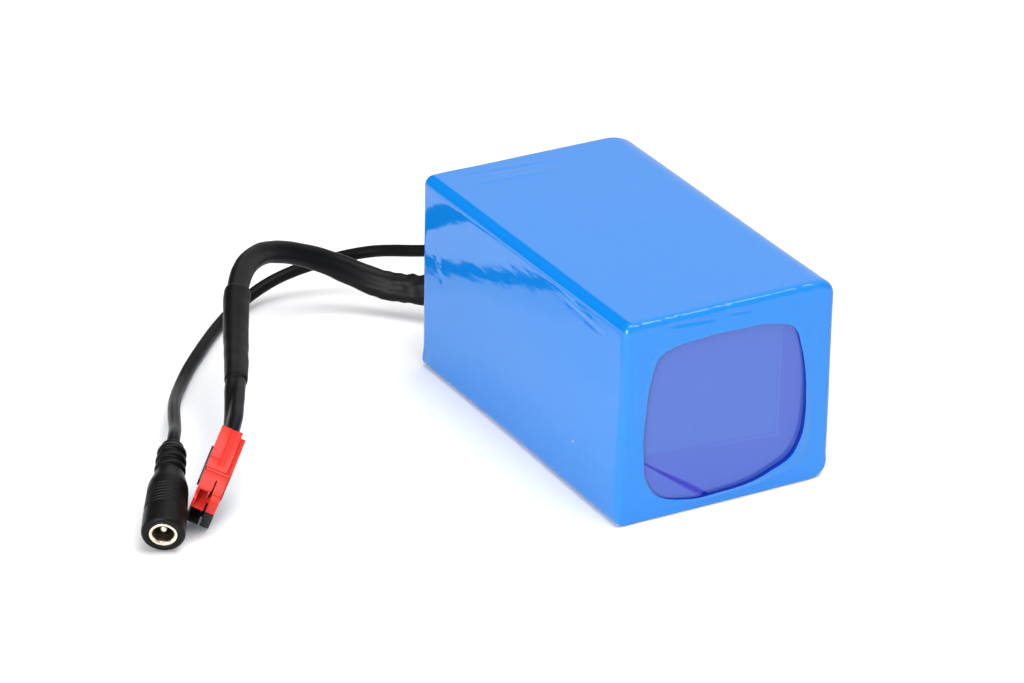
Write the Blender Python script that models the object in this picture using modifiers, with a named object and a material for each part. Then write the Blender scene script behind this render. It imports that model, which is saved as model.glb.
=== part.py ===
"""A six-series, three-parallel lithium-ion battery pack in a double shrink wrap, with two leads.

Frame: origin under the middle of the pack, +X across it, +Y along it towards the end that the
leads leave, +Z up. Lengths are in metres. The wrapped pack stands on z = 0 and the leads lie
and arch behind it and on its left.
"""

from math import cos, pi, radians, sin

import bmesh
import bpy
import numpy as np
from mathutils import Matrix, Vector

MM = 0.001

# Wrapped pack
PACK_WIDTH = 69.8 * MM
PACK_LENGTH = 121.0 * MM
PACK_HEIGHT = 64.0 * MM
CLEARANCE = 0.3 * MM
OUTER_FILM = 0.35 * MM
INNER_FILM = 0.3 * MM
OUTER_CORNER = 4.0 * MM
CORNER_SEGMENTS = 3
WINDOW_HALF_WIDTH = 27.0 * MM
WINDOW_HALF_HEIGHT = 25.3 * MM
WINDOW_CENTRE_Z = 29.5 * MM
WINDOW_POWER = 4.2
WINDOW_POINTS = 40

# Cells, lying across the pack
CELL_RADIUS = 9.1 * MM
CELL_LENGTH = 64.9 * MM
CELL_BUTTON_RADIUS = 3.6 * MM
CELL_BUTTON_HEIGHT = 0.7 * MM
CELL_PITCH = 18.5 * MM
CELL_SEGMENTS = 16
CELLS_HIGH = 3
GROUPS = 6
FIRST_GROUP_Y = -49.35 * MM
LOWEST_CELL_Z = 11.45 * MM

# Sheets between the cells and the inner wrap
SIDE_BOARD = 0.4 * MM
END_BOARD = 0.5 * MM
NICKEL = 0.2 * MM
SPACER_DEPTH = 5.9 * MM

# Battery management board, on top of the cells towards the lead end
BMS_HALF_WIDTH = 26.0 * MM
BMS_FRONT_Y = 2.0 * MM
BMS_REAR_Y = 50.0 * MM
BMS_THICKNESS = 1.2 * MM
SOLDER_GAP = 0.1 * MM

# Leads
SENSE_WIRE_RADIUS = 0.65 * MM
LINK_WIRE_RADIUS = 1.3 * MM
POWER_WIRE_RADIUS = 1.4 * MM
POWER_WIRE_OFFSET = 1.5 * MM
SLEEVE_HALF_THICKNESS = 2.1 * MM
SLEEVE_HALF_WIDTH = 3.4 * MM
SLEEVE_BORE_RADIUS = 1.55 * MM
CHARGE_CABLE_RADIUS = 1.9 * MM
DROP_Y = 55.5 * MM
EXIT_Y = 60.5 * MM
DISCHARGE_EXIT = Vector((-6.0, 60.5, 13.0)) * MM
CHARGE_EXIT = Vector((4.0, 60.5, 30.0)) * MM

# Flat-contact connector: two housings stacked on one another
HOUSING_LENGTH = 24.6 * MM
HOUSING_SIDE = 7.7 * MM
HOUSING_PITCH = 7.9 * MM
HOUSING_BODY_RIGHT = 2.55 * MM
BORE_X = -0.65 * MM
CONTACT_PIVOT_Y = -5.7 * MM
CONNECTOR_PLACE = Vector((-126.9, 6.2, 19.1)) * MM
CONNECTOR_YAW = -47.0
CONNECTOR_PITCH = 26.4
CONNECTOR_ROLL = 23.0

# Round charging socket
SOCKET_RADIUS = 6.35 * MM
SOCKET_LENGTH = 38.0 * MM
SOCKET_PLACE = Vector((-157.9, -13.8, 6.4)) * MM
SOCKET_YAW = -30.2
SOCKET_PITCH = 14.5
SOCKET_SEGMENTS = 28

# Routes outside the pack, from the lead end to just behind each connector
DISCHARGE_ROUTE = [
    (-6.0, 60.5, 13.0),
    (-6.9, 67.9, 12.3),
    (-9.8, 75.9, 11.7),
    (-14.1, 83.2, 10.6),
    (-19.6, 89.7, 9.9),
    (-27.2, 97.0, 10.1),
    (-37.4, 104.4, 14.5),
    (-49.5, 107.6, 20.6),
    (-58.2, 106.8, 24.2),
    (-66.7, 103.7, 26.9),
    (-75.0, 97.6, 28.0),
    (-82.3, 88.9, 27.6),
    (-88.3, 79.0, 26.3),
    (-93.7, 68.7, 25.1),
    (-99.1, 57.8, 24.4),
    (-104.6, 46.5, 24.2),
    (-110.8, 34.3, 24.2),
    (-117.0, 22.8, 23.4),
]
CHARGE_ROUTE = [
    (4.0, 60.5, 30.0),
    (2.4, 70.8, 28.6),
    (-3.2, 82.4, 24.7),
    (-9.9, 91.5, 21.0),
    (-17.0, 101.6, 18.0),
    (-24.3, 111.6, 15.3),
    (-34.6, 117.7, 12.6),
    (-45.1, 121.3, 9.8),
    (-55.3, 121.8, 7.2),
    (-63.9, 119.9, 4.8),
    (-71.8, 116.3, 2.9),
    (-79.6, 110.2, 2.0),
    (-87.3, 102.4, 2.0),
    (-94.2, 94.9, 2.0),
    (-100.5, 87.8, 2.0),
    (-106.3, 80.4, 2.1),
    (-113.6, 69.2, 4.0),
    (-122.9, 51.6, 8.5),
    (-132.1, 31.7, 13.2),
]
# The flat pair's turn about its own line, in degrees, at shares of its length
PAIR_TURN_AT = [0.0, 0.15, 0.35, 0.5, 0.7, 0.85, 0.96, 1.0]
PAIR_TURN = [0.0, 90.0, 120.0, 165.0, 180.0, 160.0, 113.0, 113.0]
FLARE_LENGTH = 15.0 * MM

PALETTE = {
    "outer_film": ((0.09, 0.36, 0.86), 0.25, 0.0),
    "inner_film": ((0.13, 0.19, 0.62), 0.3, 0.0),
    "end_board": ((0.55, 0.62, 0.35), 0.6, 0.0),
    "paper": ((0.72, 0.76, 0.66), 0.85, 0.0),
    "foam": ((0.12, 0.12, 0.13), 0.95, 0.0),
    "cell": ((0.16, 0.55, 0.50), 0.4, 0.0),
    "nickel": ((0.72, 0.71, 0.68), 0.3, 1.0),
    "circuit_board": ((0.03, 0.20, 0.10), 0.45, 0.0),
    "chip": ((0.02, 0.02, 0.02), 0.5, 0.0),
    "wire_red": ((0.60, 0.03, 0.02), 0.45, 0.0),
    "wire_black": ((0.02, 0.02, 0.02), 0.45, 0.0),
    "wire_sense": ((0.85, 0.75, 0.15), 0.45, 0.0),
    "sleeve": ((0.03, 0.03, 0.035), 0.5, 0.0),
    "cable": ((0.02, 0.02, 0.02), 0.4, 0.0),
    "socket": ((0.025, 0.025, 0.028), 0.45, 0.0),
    "metal": ((0.80, 0.76, 0.68), 0.25, 1.0),
    "insulator": ((0.03, 0.03, 0.03), 0.6, 0.0),
    "housing_red": ((0.85, 0.05, 0.03), 0.35, 0.0),
    "housing_black": ((0.02, 0.02, 0.02), 0.4, 0.0),
    "spring_steel": ((0.60, 0.60, 0.60), 0.3, 1.0),
}


def clear_scene():
    for obj in list(bpy.data.objects):
        bpy.data.objects.remove(obj, do_unlink=True)


def make_collection(name):
    collection = bpy.data.collections.new(name)
    bpy.context.scene.collection.children.link(collection)
    return collection


def material_named(name):
    if name in bpy.data.materials:
        return bpy.data.materials[name]
    colour, roughness, metallic = PALETTE[name]
    material = bpy.data.materials.new(name)
    material.use_nodes = True
    shader = material.node_tree.nodes["Principled BSDF"]
    shader.inputs["Base Color"].default_value = (*colour, 1.0)
    shader.inputs["Roughness"].default_value = roughness
    shader.inputs["Metallic"].default_value = metallic
    material.diffuse_color = (*colour, 1.0)
    return material


def place(data, name, material=None, parent=None):
    """An object for this mesh or curve, in the pack's collection or, without a material, the cutters'."""
    obj = bpy.data.objects.new(name, data)
    if material is None:
        cutters.objects.link(obj)
        obj.hide_render = True
        obj.display_type = "WIRE"
    else:
        pack.objects.link(obj)
        data.materials.append(material_named(material))
    obj.parent = parent
    return obj


def box_data(name, low, high):
    """A closed box between two corners."""
    low = Vector(low)
    high = Vector(high)
    bm = bmesh.new()
    bmesh.ops.create_cube(bm, size=1.0)
    bmesh.ops.scale(bm, vec=high - low, verts=bm.verts)
    bmesh.ops.translate(bm, vec=(low + high) / 2, verts=bm.verts)
    data = bpy.data.meshes.new(name)
    bm.to_mesh(data)
    bm.free()
    return data


def box(name, low, high, material=None, parent=None):
    return place(box_data(name, low, high), name, material, parent)


def rod(name, start, end, radius, segments, material=None, parent=None):
    """A closed cylinder between two points."""
    start = Vector(start)
    along = Vector(end) - start
    bm = bmesh.new()
    bmesh.ops.create_cone(
        bm, cap_ends=True, segments=segments, radius1=radius, radius2=radius, depth=along.length
    )
    bmesh.ops.translate(bm, vec=(0, 0, along.length / 2), verts=bm.verts)
    turn = along.to_track_quat("Z", "Y").to_matrix()
    bmesh.ops.rotate(bm, cent=(0, 0, 0), matrix=turn, verts=bm.verts)
    bmesh.ops.translate(bm, vec=start, verts=bm.verts)
    data = bpy.data.meshes.new(name)
    bm.to_mesh(data)
    bm.free()
    return place(data, name, material, parent)


def bevelled(obj, width, segments=1):
    bevel = obj.modifiers.new("edges", "BEVEL")
    bevel.width = width
    bevel.segments = segments
    bevel.limit_method = "ANGLE"
    return obj


def boolean(obj, other, operation="DIFFERENCE"):
    """Cuts other from obj, or joins it on, and leaves other as a hidden helper."""
    modifier = obj.modifiers.new(other.name, "BOOLEAN")
    modifier.operation = operation
    modifier.solver = "EXACT"
    modifier.object = other
    return obj


def smoothed(obj, angle=35.0):
    obj.data.shade_smooth()
    obj.data.set_sharp_from_angle(angle=radians(angle))
    return obj


def turned(name, profile, segments, material=None, parent=None, closed=False):
    """A solid turned about Y from (radius, y) points, which run from low y to high y on the outside."""
    data = bpy.data.meshes.new(name)
    points = [(radius, y, 0.0) for radius, y in reversed(profile)]
    edges = [(i, i + 1) for i in range(len(points) - 1)]
    if closed:
        edges.append((len(points) - 1, 0))
    data.from_pydata(points, edges, [])
    obj = place(data, name, material, parent)
    screw = obj.modifiers.new("turn", "SCREW")
    screw.axis = "Y"
    screw.steps = segments
    screw.render_steps = segments
    screw.use_merge_vertices = True
    screw.merge_threshold = 0.00001
    screw.use_smooth_shade = True
    return obj


def smooth_line(points, first_way, last_way, spacing):
    """Points at even spacing along the cubic spline through points, with its end directions given."""
    knots = np.array(points, float)
    steps = np.linalg.norm(np.diff(knots, axis=0), axis=1)
    count = len(knots)
    system = np.zeros((count, count))
    wanted = np.zeros((count, 3))
    system[0, 0] = system[-1, -1] = 1.0
    wanted[0] = first_way
    wanted[-1] = last_way
    for i in range(1, count - 1):
        before, after = steps[i - 1], steps[i]
        system[i, i - 1 : i + 2] = (after, 2 * (before + after), before)
        slopes = after * (knots[i] - knots[i - 1]) / before + before * (knots[i + 1] - knots[i]) / after
        wanted[i] = 3 * slopes
    ways = np.linalg.solve(system, wanted)
    t = np.linspace(0, 1, 30)[:, None]
    fine = [knots[:1]]
    for i in range(count - 1):
        rise = steps[i] * ((t**3 - 2 * t**2 + t) * ways[i] + (t**3 - t**2) * ways[i + 1])
        run = (2 * t**3 - 3 * t**2 + 1) * knots[i] + (3 * t**2 - 2 * t**3) * knots[i + 1]
        fine.append((rise + run)[1:])
    fine = np.vstack(fine)
    along = np.concatenate([[0], np.cumsum(np.linalg.norm(np.diff(fine, axis=0), axis=1))])
    stations = np.linspace(0, along[-1], max(2, round(along[-1] / spacing)) + 1)
    return np.column_stack([np.interp(stations, along, fine[:, k]) for k in range(3)])


def rounded_path(corners, radius, pieces=5):
    """A path through corners, each inner corner rounded by an arc of that radius."""
    corners = [Vector(c) for c in corners]
    path = [corners[0]]
    for before, corner, after in zip(corners, corners[1:], corners[2:]):
        inward = (before - corner).normalized()
        outward = (after - corner).normalized()
        half = inward.angle(outward) / 2
        centre = corner + (inward + outward).normalized() * (radius / sin(half))
        reach = radius / np.tan(half)
        start = corner + inward * reach - centre
        axis = outward.cross(inward).normalized()
        sweep = pi - 2 * half
        for k in range(pieces + 1):
            path.append(centre + Matrix.Rotation(sweep * k / pieces, 3, axis) @ start)
    path.append(corners[-1])
    return path


def tube(name, points, radius, resolution, material):
    """A round wire or cable along points."""
    data = bpy.data.curves.new(name, "CURVE")
    data.dimensions = "3D"
    data.bevel_depth = radius
    data.bevel_resolution = resolution
    data.use_fill_caps = True
    spline = data.splines.new("POLY")
    spline.points.add(len(points) - 1)
    for point, target in zip(spline.points, points):
        point.co = (*target, 1.0)
    return place(data, name, material)


def rounded_box(name, margin, material=None):
    """The pack's block, shrunk by margin on every side, with rounded edges and corners."""
    low = (-PACK_WIDTH / 2 + margin, -PACK_LENGTH / 2 + margin, margin)
    high = (PACK_WIDTH / 2 - margin, PACK_LENGTH / 2 - margin, PACK_HEIGHT - margin)
    obj = box(name, low, high, material)
    return bevelled(obj, OUTER_CORNER - margin, CORNER_SEGMENTS)


def window_cutter(name, start_y, end_y):
    """A prism with the shrunk end's outline: a superellipse, which is a square with bowed sides."""
    data = bpy.data.meshes.new(name)
    turn = np.linspace(0, 2 * pi, WINDOW_POINTS, endpoint=False)
    power = 2 / WINDOW_POWER
    across = WINDOW_HALF_WIDTH * np.sign(np.cos(turn)) * np.abs(np.cos(turn)) ** power
    up = WINDOW_CENTRE_Z + WINDOW_HALF_HEIGHT * np.sign(np.sin(turn)) * np.abs(np.sin(turn)) ** power
    bm = bmesh.new()
    outline = [bm.verts.new((x, start_y, z)) for x, z in zip(across, up)]
    face = bm.faces.new(outline)
    pushed = bmesh.ops.extrude_face_region(bm, geom=[face])
    moved = [item for item in pushed["geom"] if isinstance(item, bmesh.types.BMVert)]
    bmesh.ops.translate(bm, vec=(0, end_y - start_y, 0), verts=moved)
    bmesh.ops.recalc_face_normals(bm, faces=bm.faces)
    bm.to_mesh(data)
    bm.free()
    return place(data, name)


def build_wraps():
    outer = rounded_box("outer_sleeve", 0.0, "outer_film")
    boolean(outer, rounded_box("outer_hollow", OUTER_FILM))
    end = PACK_LENGTH / 2
    boolean(outer, window_cutter("front_window", -end - 2 * MM, -end + 2 * MM))
    boolean(outer, window_cutter("rear_window", end - 2 * MM, end + 2 * MM))
    skin = OUTER_FILM + CLEARANCE
    inner = rounded_box("inner_wrap", skin, "inner_film")
    boolean(inner, rounded_box("inner_hollow", skin + INNER_FILM))
    boolean(inner, lead_hole("inner_wrap_pair_hole", DISCHARGE_EXIT, 4.0 * MM, 2.7 * MM))
    boolean(inner, lead_hole("inner_wrap_cable_hole", CHARGE_EXIT, 2.3 * MM, 2.3 * MM))
    for obj in (outer, inner):
        smoothed(obj)


def lead_hole(name, exit_point, half_width, half_height, above=0.0):
    """A cutter through the lead end round one exit."""
    x, _, z = exit_point
    low = (x - half_width, 57.0 * MM, z - half_height)
    high = (x + half_width, 62.0 * MM, z + half_height + above)
    return box(name, low, high)


def build_boards():
    inside_x = PACK_WIDTH / 2 - OUTER_FILM - INNER_FILM - 2 * CLEARANCE
    inside_y = PACK_LENGTH / 2 - OUTER_FILM - INNER_FILM - 2 * CLEARANCE
    bottom_z = OUTER_FILM + INNER_FILM + 2 * CLEARANCE
    top_z = PACK_HEIGHT - bottom_z
    edge = 3.2 * MM
    side_y = inside_y - edge
    side_x = inside_x - edge
    low_z = bottom_z + edge
    high_z = top_z - edge
    for name, sign in (("left_side_board", -1), ("right_side_board", 1)):
        faces = sorted((sign * inside_x, sign * (inside_x - SIDE_BOARD)))
        box(name, (faces[0], -side_y, low_z), (faces[1], side_y, high_z), "paper")
    box("front_end_board", (-side_x, -inside_y, low_z), (side_x, -inside_y + END_BOARD, high_z), "end_board")
    rear_low = (-side_x, inside_y - END_BOARD, low_z)
    rear = box("rear_end_board", rear_low, (side_x, inside_y, high_z), "end_board")
    boolean(rear, lead_hole("rear_board_pair_hole", DISCHARGE_EXIT, 4.1 * MM, 2.8 * MM, above=1.4 * MM))
    boolean(rear, lead_hole("rear_board_cable_hole", CHARGE_EXIT, 2.4 * MM, 2.4 * MM, above=1.6 * MM))
    box("bottom_board", (-side_x, -side_y, bottom_z), (side_x, side_y, bottom_z + END_BOARD), "end_board")
    box("top_board", (-side_x, -side_y, top_z - END_BOARD), (side_x, side_y, top_z), "end_board")


def build_spacer():
    """Foam behind the last cells, with channels that the leads come down in."""
    front_y = FIRST_GROUP_Y + (GROUPS - 1) * CELL_PITCH + CELL_RADIUS + CLEARANCE
    rear_y = front_y + SPACER_DEPTH
    low_z = LOWEST_CELL_Z - CELL_RADIUS
    spacer = box("rear_spacer", (-30 * MM, front_y, low_z), (30 * MM, rear_y, 57.2 * MM), "foam")
    floor_y = front_y + 0.6 * MM
    behind_y = rear_y + 1 * MM
    channels = {
        "pair_channel": ((-9.8, 9.4), (-2.2, 60.0)),
        "cable_channel": ((1.6, 26.4), (6.4, 60.0)),
        "positive_channel": ((-4.0, 19.8), (31.0, 24.2)),
    }
    for name, ((x0, z0), (x1, z1)) in channels.items():
        boolean(spacer, box(name, (x0 * MM, floor_y, z0 * MM), (x1 * MM, behind_y, z1 * MM)))


def cell_data():
    """A can along Y with its raised button at +Y, centred on the origin."""
    half = CELL_LENGTH / 2
    shoulder = half - CELL_BUTTON_HEIGHT
    return [
        (0.0, -half),
        (CELL_RADIUS, -half),
        (CELL_RADIUS, shoulder),
        (CELL_BUTTON_RADIUS, shoulder),
        (CELL_BUTTON_RADIUS, half),
        (0.0, half),
    ]


def build_cells():
    """Each group's three cells stand the other way round from the next group's."""
    number = 0
    for group in range(GROUPS):
        for row in range(CELLS_HIGH):
            number += 1
            cell = turned(f"cell_{number:02d}", cell_data(), CELL_SEGMENTS, "cell")
            cell.location = (0, FIRST_GROUP_Y + group * CELL_PITCH, LOWEST_CELL_Z + row * CELL_PITCH)
            cell.rotation_euler = (0, 0, pi / 2 if group % 2 == 0 else -pi / 2)


def plate(name, side, groups, tabs):
    """A nickel sheet welded to the cell ends of one or two groups, with weld slots and tabs for wires."""
    centres = [FIRST_GROUP_Y + group * CELL_PITCH for group in groups]
    near = CELL_LENGTH / 2 + CLEARANCE
    faces = sorted((side * near, side * (near + NICKEL)))
    low_y = centres[0] - 7.6 * MM
    high_y = centres[-1] + 7.6 * MM
    low_z = LOWEST_CELL_Z - 7.0 * MM
    high_z = LOWEST_CELL_Z + 2 * CELL_PITCH + 7.0 * MM
    obj = box(name, (faces[0], low_y, low_z), (faces[1], high_y, high_z), "nickel")
    for k, (y0, y1, z0, z1) in enumerate(tabs):
        tab = box(f"{name}_tab_{k}", (faces[0], y0, z0), (faces[1], y1, z1))
        boolean(obj, tab, "UNION")
    reach = 5 * MM
    for group_number, y in enumerate(centres):
        for row in range(CELLS_HIGH):
            z = LOWEST_CELL_Z + row * CELL_PITCH
            low = (faces[0] - reach, y - 0.5 * MM, z - 2.8 * MM)
            high = (faces[1] + reach, y + 0.5 * MM, z + 2.8 * MM)
            boolean(obj, box(f"{name}_slot_{group_number}_{row}", low, high))


def top_tab(y):
    """The outline of a tab that stands up from a plate at y."""
    return (y - 2.5 * MM, y + 2.5 * MM, 50 * MM, 58.9 * MM)


def middle_y(groups):
    return FIRST_GROUP_Y + sum(groups) / len(groups) * CELL_PITCH


def build_plates():
    """Seven plates put the six groups in series, from the front right to the rear right."""
    links = {
        "nickel_negative": (1, (0,)),
        "nickel_left_1": (-1, (0, 1)),
        "nickel_right_1": (1, (1, 2)),
        "nickel_left_2": (-1, (2, 3)),
        "nickel_right_2": (1, (3, 4)),
        "nickel_left_3": (-1, (4, 5)),
        "nickel_positive": (1, (5,)),
    }
    for name, (side, groups) in links.items():
        tabs = [top_tab(middle_y(groups))]
        if name == "nickel_positive":
            tabs.append((45 * MM, 57.3 * MM, 19.8 * MM, 24.2 * MM))
        plate(name, side, groups, tabs)


def build_bms():
    low_z = LOWEST_CELL_Z + 2 * CELL_PITCH + CELL_RADIUS + 0.4 * MM
    high_z = low_z + BMS_THICKNESS
    board_low = (-BMS_HALF_WIDTH, BMS_FRONT_Y, low_z)
    board_high = (BMS_HALF_WIDTH, BMS_REAR_Y, high_z)
    box("bms_board", board_low, board_high, "circuit_board")
    seat = high_z + SOLDER_GAP
    for number in range(3):
        x = (-19 + 9 * number) * MM
        transistor = box(
            f"bms_mosfet_{number + 1}", (x, 34 * MM, seat), (x + 6.6 * MM, 44 * MM, seat + 2.2 * MM), "chip"
        )
        bevelled(transistor, 0.3 * MM)
    bevelled(box("bms_chip", (-4 * MM, 14 * MM, seat), (4 * MM, 22 * MM, seat + 1.4 * MM), "chip"), 0.2 * MM)


def build_sense_wires():
    """Thin wires from the plates' tabs to the management board, and the thick negative link."""
    start_x = CELL_LENGTH / 2 - 0.05 * MM
    z = 58.4 * MM
    turning = {
        "sense_wire_1": (-1, (0, 1), -10 * MM),
        "sense_wire_2": (1, (1, 2), 18 * MM),
        "sense_wire_3": (-1, (2, 3), -20 * MM),
    }
    for name, (side, groups, lane_x) in turning.items():
        y = middle_y(groups)
        corners = [(side * start_x, y, z), (lane_x, y, z), (lane_x, BMS_FRONT_Y - CLEARANCE, z)]
        tube(name, rounded_path(corners, 3 * MM), SENSE_WIRE_RADIUS, 2, "wire_sense")
    straight = {"sense_wire_4": (1, (3, 4)), "sense_wire_5": (-1, (4, 5)), "sense_wire_6": (1, (5,))}
    for name, (side, groups) in straight.items():
        y = middle_y(groups)
        ends = [(side * start_x, y, z), (side * (BMS_HALF_WIDTH + CLEARANCE), y, z)]
        tube(name, ends, SENSE_WIRE_RADIUS, 2, "wire_sense")
    y = middle_y((0,))
    link_z = 59.1 * MM
    corners = [(start_x, y, link_z), (8 * MM, y, link_z), (8 * MM, BMS_FRONT_Y - CLEARANCE, link_z)]
    tube("negative_link", rounded_path(corners, 5 * MM), LINK_WIRE_RADIUS, 2, "wire_black")


def turned_frame(yaw, pitch, roll=0.0):
    return (
        Matrix.Rotation(radians(yaw), 4, "Z")
        @ Matrix.Rotation(radians(pitch), 4, "X")
        @ Matrix.Rotation(radians(roll), 4, "Y")
    )


def frame_empty(name, place_at, turn):
    """An empty whose +Y points back along a connector and whose +Z is its upper side."""
    empty = bpy.data.objects.new(name, None)
    pack.objects.link(empty)
    empty.matrix_world = Matrix.Translation(place_at) @ turn
    return empty


def stadium(half_width, radius, side_points=6):
    """Outline points (wide, thin) of two half circles joined by straight sides."""
    straight = half_width - radius
    turn = np.linspace(-pi / 2, pi / 2, side_points + 1)
    right = np.column_stack([straight + radius * np.cos(turn), radius * np.sin(turn)])
    return np.vstack([right, -right])


def pair_frames(line, last_way):
    """Unit directions across a flat pair, wide and thin, at each point of its centre line."""
    way = np.gradient(line, axis=0)
    way[0] = (0, 1, 0)
    way[-1] = last_way
    way /= np.linalg.norm(way, axis=1)[:, None]
    side = np.cross(way, (0, 0, 1))
    side /= np.linalg.norm(side, axis=1)[:, None]
    up = np.cross(side, way)
    share = np.linspace(0, 1, len(line))
    turn = np.radians(np.interp(share, PAIR_TURN_AT, PAIR_TURN))[:, None]
    wide = np.cos(turn) * side + np.sin(turn) * up
    return wide, np.cross(way, wide)


def sleeve_data(line, wide, thin, spread):
    """A hollow flat sleeve along line: outer and inner outlines at each point, joined at both ends."""
    rings = []
    for outer in (True, False):
        for centre, across, through, extra in zip(line, wide, thin, spread):
            if outer:
                outline = stadium(SLEEVE_HALF_WIDTH + extra, SLEEVE_HALF_THICKNESS)
            else:
                outline = stadium(POWER_WIRE_OFFSET + extra + SLEEVE_BORE_RADIUS, SLEEVE_BORE_RADIUS)
            rings.append(centre + outline[:, :1] * across + outline[:, 1:] * through)
    count = len(line)
    sides = len(rings[0])
    vertices = np.vstack(rings)
    faces = []
    pairs = [(k, k + 1) for k in range(count - 1)]
    pairs += [(count + k + 1, count + k) for k in range(count - 1)]
    pairs += [(count, 0), (count - 1, 2 * count - 1)]
    for first, second in pairs:
        for k in range(sides):
            following = (k + 1) % sides
            a, b = first * sides, second * sides
            faces.append((a + k, a + following, b + following, b + k))
    data = bpy.data.meshes.new("discharge_sleeve")
    data.from_pydata(vertices.tolist(), [], faces)
    bm = bmesh.new()
    bm.from_mesh(data)
    bmesh.ops.recalc_face_normals(bm, faces=bm.faces)
    bm.to_mesh(data)
    bm.free()
    return data


def build_discharge_lead(connector):
    """Two wires in one flat sleeve, from the cells and the board to the stacked connector."""
    world = connector.matrix_world
    backwards = np.array(world.to_3x3() @ Vector((0, 1, 0)))
    end = np.array(world @ Vector((BORE_X, 0.9 * MM, 0)))
    route = np.vstack([np.array(DISCHARGE_ROUTE) * MM, end])
    line = smooth_line(route, (0, 1, 0), -backwards, 5.4 * MM)
    wide, thin = pair_frames(line, -backwards)
    left = np.linalg.norm(line - line[-1], axis=1)
    flare = np.clip(1 - left / FLARE_LENGTH, 0, 1) ** 1.5
    spread = (HOUSING_PITCH / 2 - POWER_WIRE_OFFSET) * flare
    start = np.array(DISCHARGE_EXIT) - (0, 1.35 * MM, 0)
    sleeve_line = np.vstack([start, line])
    sleeve_wide = np.vstack([wide[:1], wide])
    sleeve_thin = np.vstack([thin[:1], thin])
    data = sleeve_data(sleeve_line, sleeve_wide, sleeve_thin, np.concatenate([[0], spread]))
    place(data, "discharge_sleeve", "sleeve")
    board_z = 59.6 * MM
    exit_x, _, exit_z = DISCHARGE_EXIT
    right = exit_x + POWER_WIRE_OFFSET
    left_x = exit_x - POWER_WIRE_OFFSET
    level = 22 * MM
    inner = {
        1: [
            (CELL_LENGTH / 2 - 0.4 * MM, DROP_Y, level),
            (right, DROP_Y, level),
            (right, DROP_Y, exit_z),
        ],
        -1: [
            (left_x, BMS_REAR_Y + 0.5 * MM, board_z),
            (left_x, DROP_Y, board_z),
            (left_x, DROP_Y, exit_z),
        ],
    }
    names = {1: ("discharge_wire_positive", "wire_red"), -1: ("discharge_wire_negative", "wire_black")}
    for sign, (name, material) in names.items():
        outside = line + sign * (POWER_WIRE_OFFSET + spread)[:, None] * wide
        inside = rounded_path([*inner[sign], outside[0]], 3.4 * MM)
        seat = world @ Vector((BORE_X, -2.1 * MM, sign * HOUSING_PITCH / 2))
        tube(name, [*inside, *(Vector(p) for p in outside[1:]), seat], POWER_WIRE_RADIUS, 2, material)


def build_charge_lead(socket):
    """The round cable from the board to the moulded socket."""
    world = socket.matrix_world
    backwards = np.array(world.to_3x3() @ Vector((0, 1, 0)))
    end = np.array(world @ Vector((0, SOCKET_LENGTH + CLEARANCE, 0)))
    bend_end = end + 1.2 * MM * backwards
    route = np.vstack([np.array(CHARGE_ROUTE) * MM, bend_end])
    line = np.vstack([smooth_line(route, (0, 1, 0), -backwards, 5.4 * MM), end])
    x, _, z = CHARGE_EXIT
    board_z = 59.7 * MM
    corners = [(x, BMS_REAR_Y + 0.5 * MM, board_z), (x, DROP_Y, board_z), (x, DROP_Y, z), line[0]]
    inside = rounded_path(corners, 3.6 * MM)
    tube("charge_cable", [*inside, *(Vector(p) for p in line[1:])], CHARGE_CABLE_RADIUS, 2, "cable")


def build_socket(socket):
    """A moulded socket: its front face is at y = 0 in its own frame and the cable enters at the back."""
    profile = [(4.3, 0.0), (5.95, 0.0), (6.35, 0.4), (6.35, 10.0)]
    for rib in range(5):
        y = 10.0 + 1.6 * rib
        profile += [(6.0, y + 0.3), (6.0, y + 0.7), (6.3, y + 1.0), (6.3, y + 1.5)]
    profile += [(6.1, 21.5), (5.3, 23.8), (4.35, 26.0)]
    for groove in (28.6, 31.3):
        profile += [(4.35, groove - 0.6), (3.8, groove - 0.3), (3.8, groove + 0.3), (4.4, groove + 0.6)]
    profile += [(4.3, 35.6), (3.6, 37.5), (3.0, 38.0), (0.0, 38.0), (0.0, 14.0), (1.3, 14.0), (1.3, 11.6)]
    profile += [(4.3, 11.6)]
    scaled = [(radius * MM, y * MM) for radius, y in profile]
    turned("socket_body", scaled, SOCKET_SEGMENTS, "socket", socket, closed=True)
    barrel = [(3.0, 0.05), (4.15, 0.05), (4.15, 9.6), (3.0, 9.6)]
    scaled = [(r * MM, y * MM) for r, y in barrel]
    turned("socket_barrel", scaled, SOCKET_SEGMENTS, "metal", socket, closed=True)
    insulator = [(1.2, 9.9), (4.15, 9.9), (4.15, 11.3), (1.2, 11.3)]
    scaled = [(r * MM, y * MM) for r, y in insulator]
    turned("socket_insulator", scaled, 20, "insulator", socket, closed=True)
    pin = [(0.0, 2.1), (0.7, 2.1), (1.05, 2.5), (1.05, 13.7), (0.0, 13.7)]
    turned("socket_pin", [(r * MM, y * MM) for r, y in pin], 12, "metal", socket)


def housing_cutters(name, parent):
    """What a housing is hollowed by, as (low, high) corners in millimetres, with the nose at -Y."""
    cuts = {
        "chamber": ((-2.85, -22.8, -2.7), (1.55, -10.4, 2.7)),
        "mouth": ((-2.85, -26.0, -2.7), (-0.95, -21.0, 2.7)),
        "trim": ((-5.0, -26.0, 1.3), (-0.95, -21.9, 5.0)),
        "slit": ((-0.97, -26.0, -5.0), (-0.35, -15.3, 5.0)),
    }
    return [
        box(f"{name}_{cut}", [v * MM for v in low], [v * MM for v in high], parent=parent)
        for cut, (low, high) in cuts.items()
    ]


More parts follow.
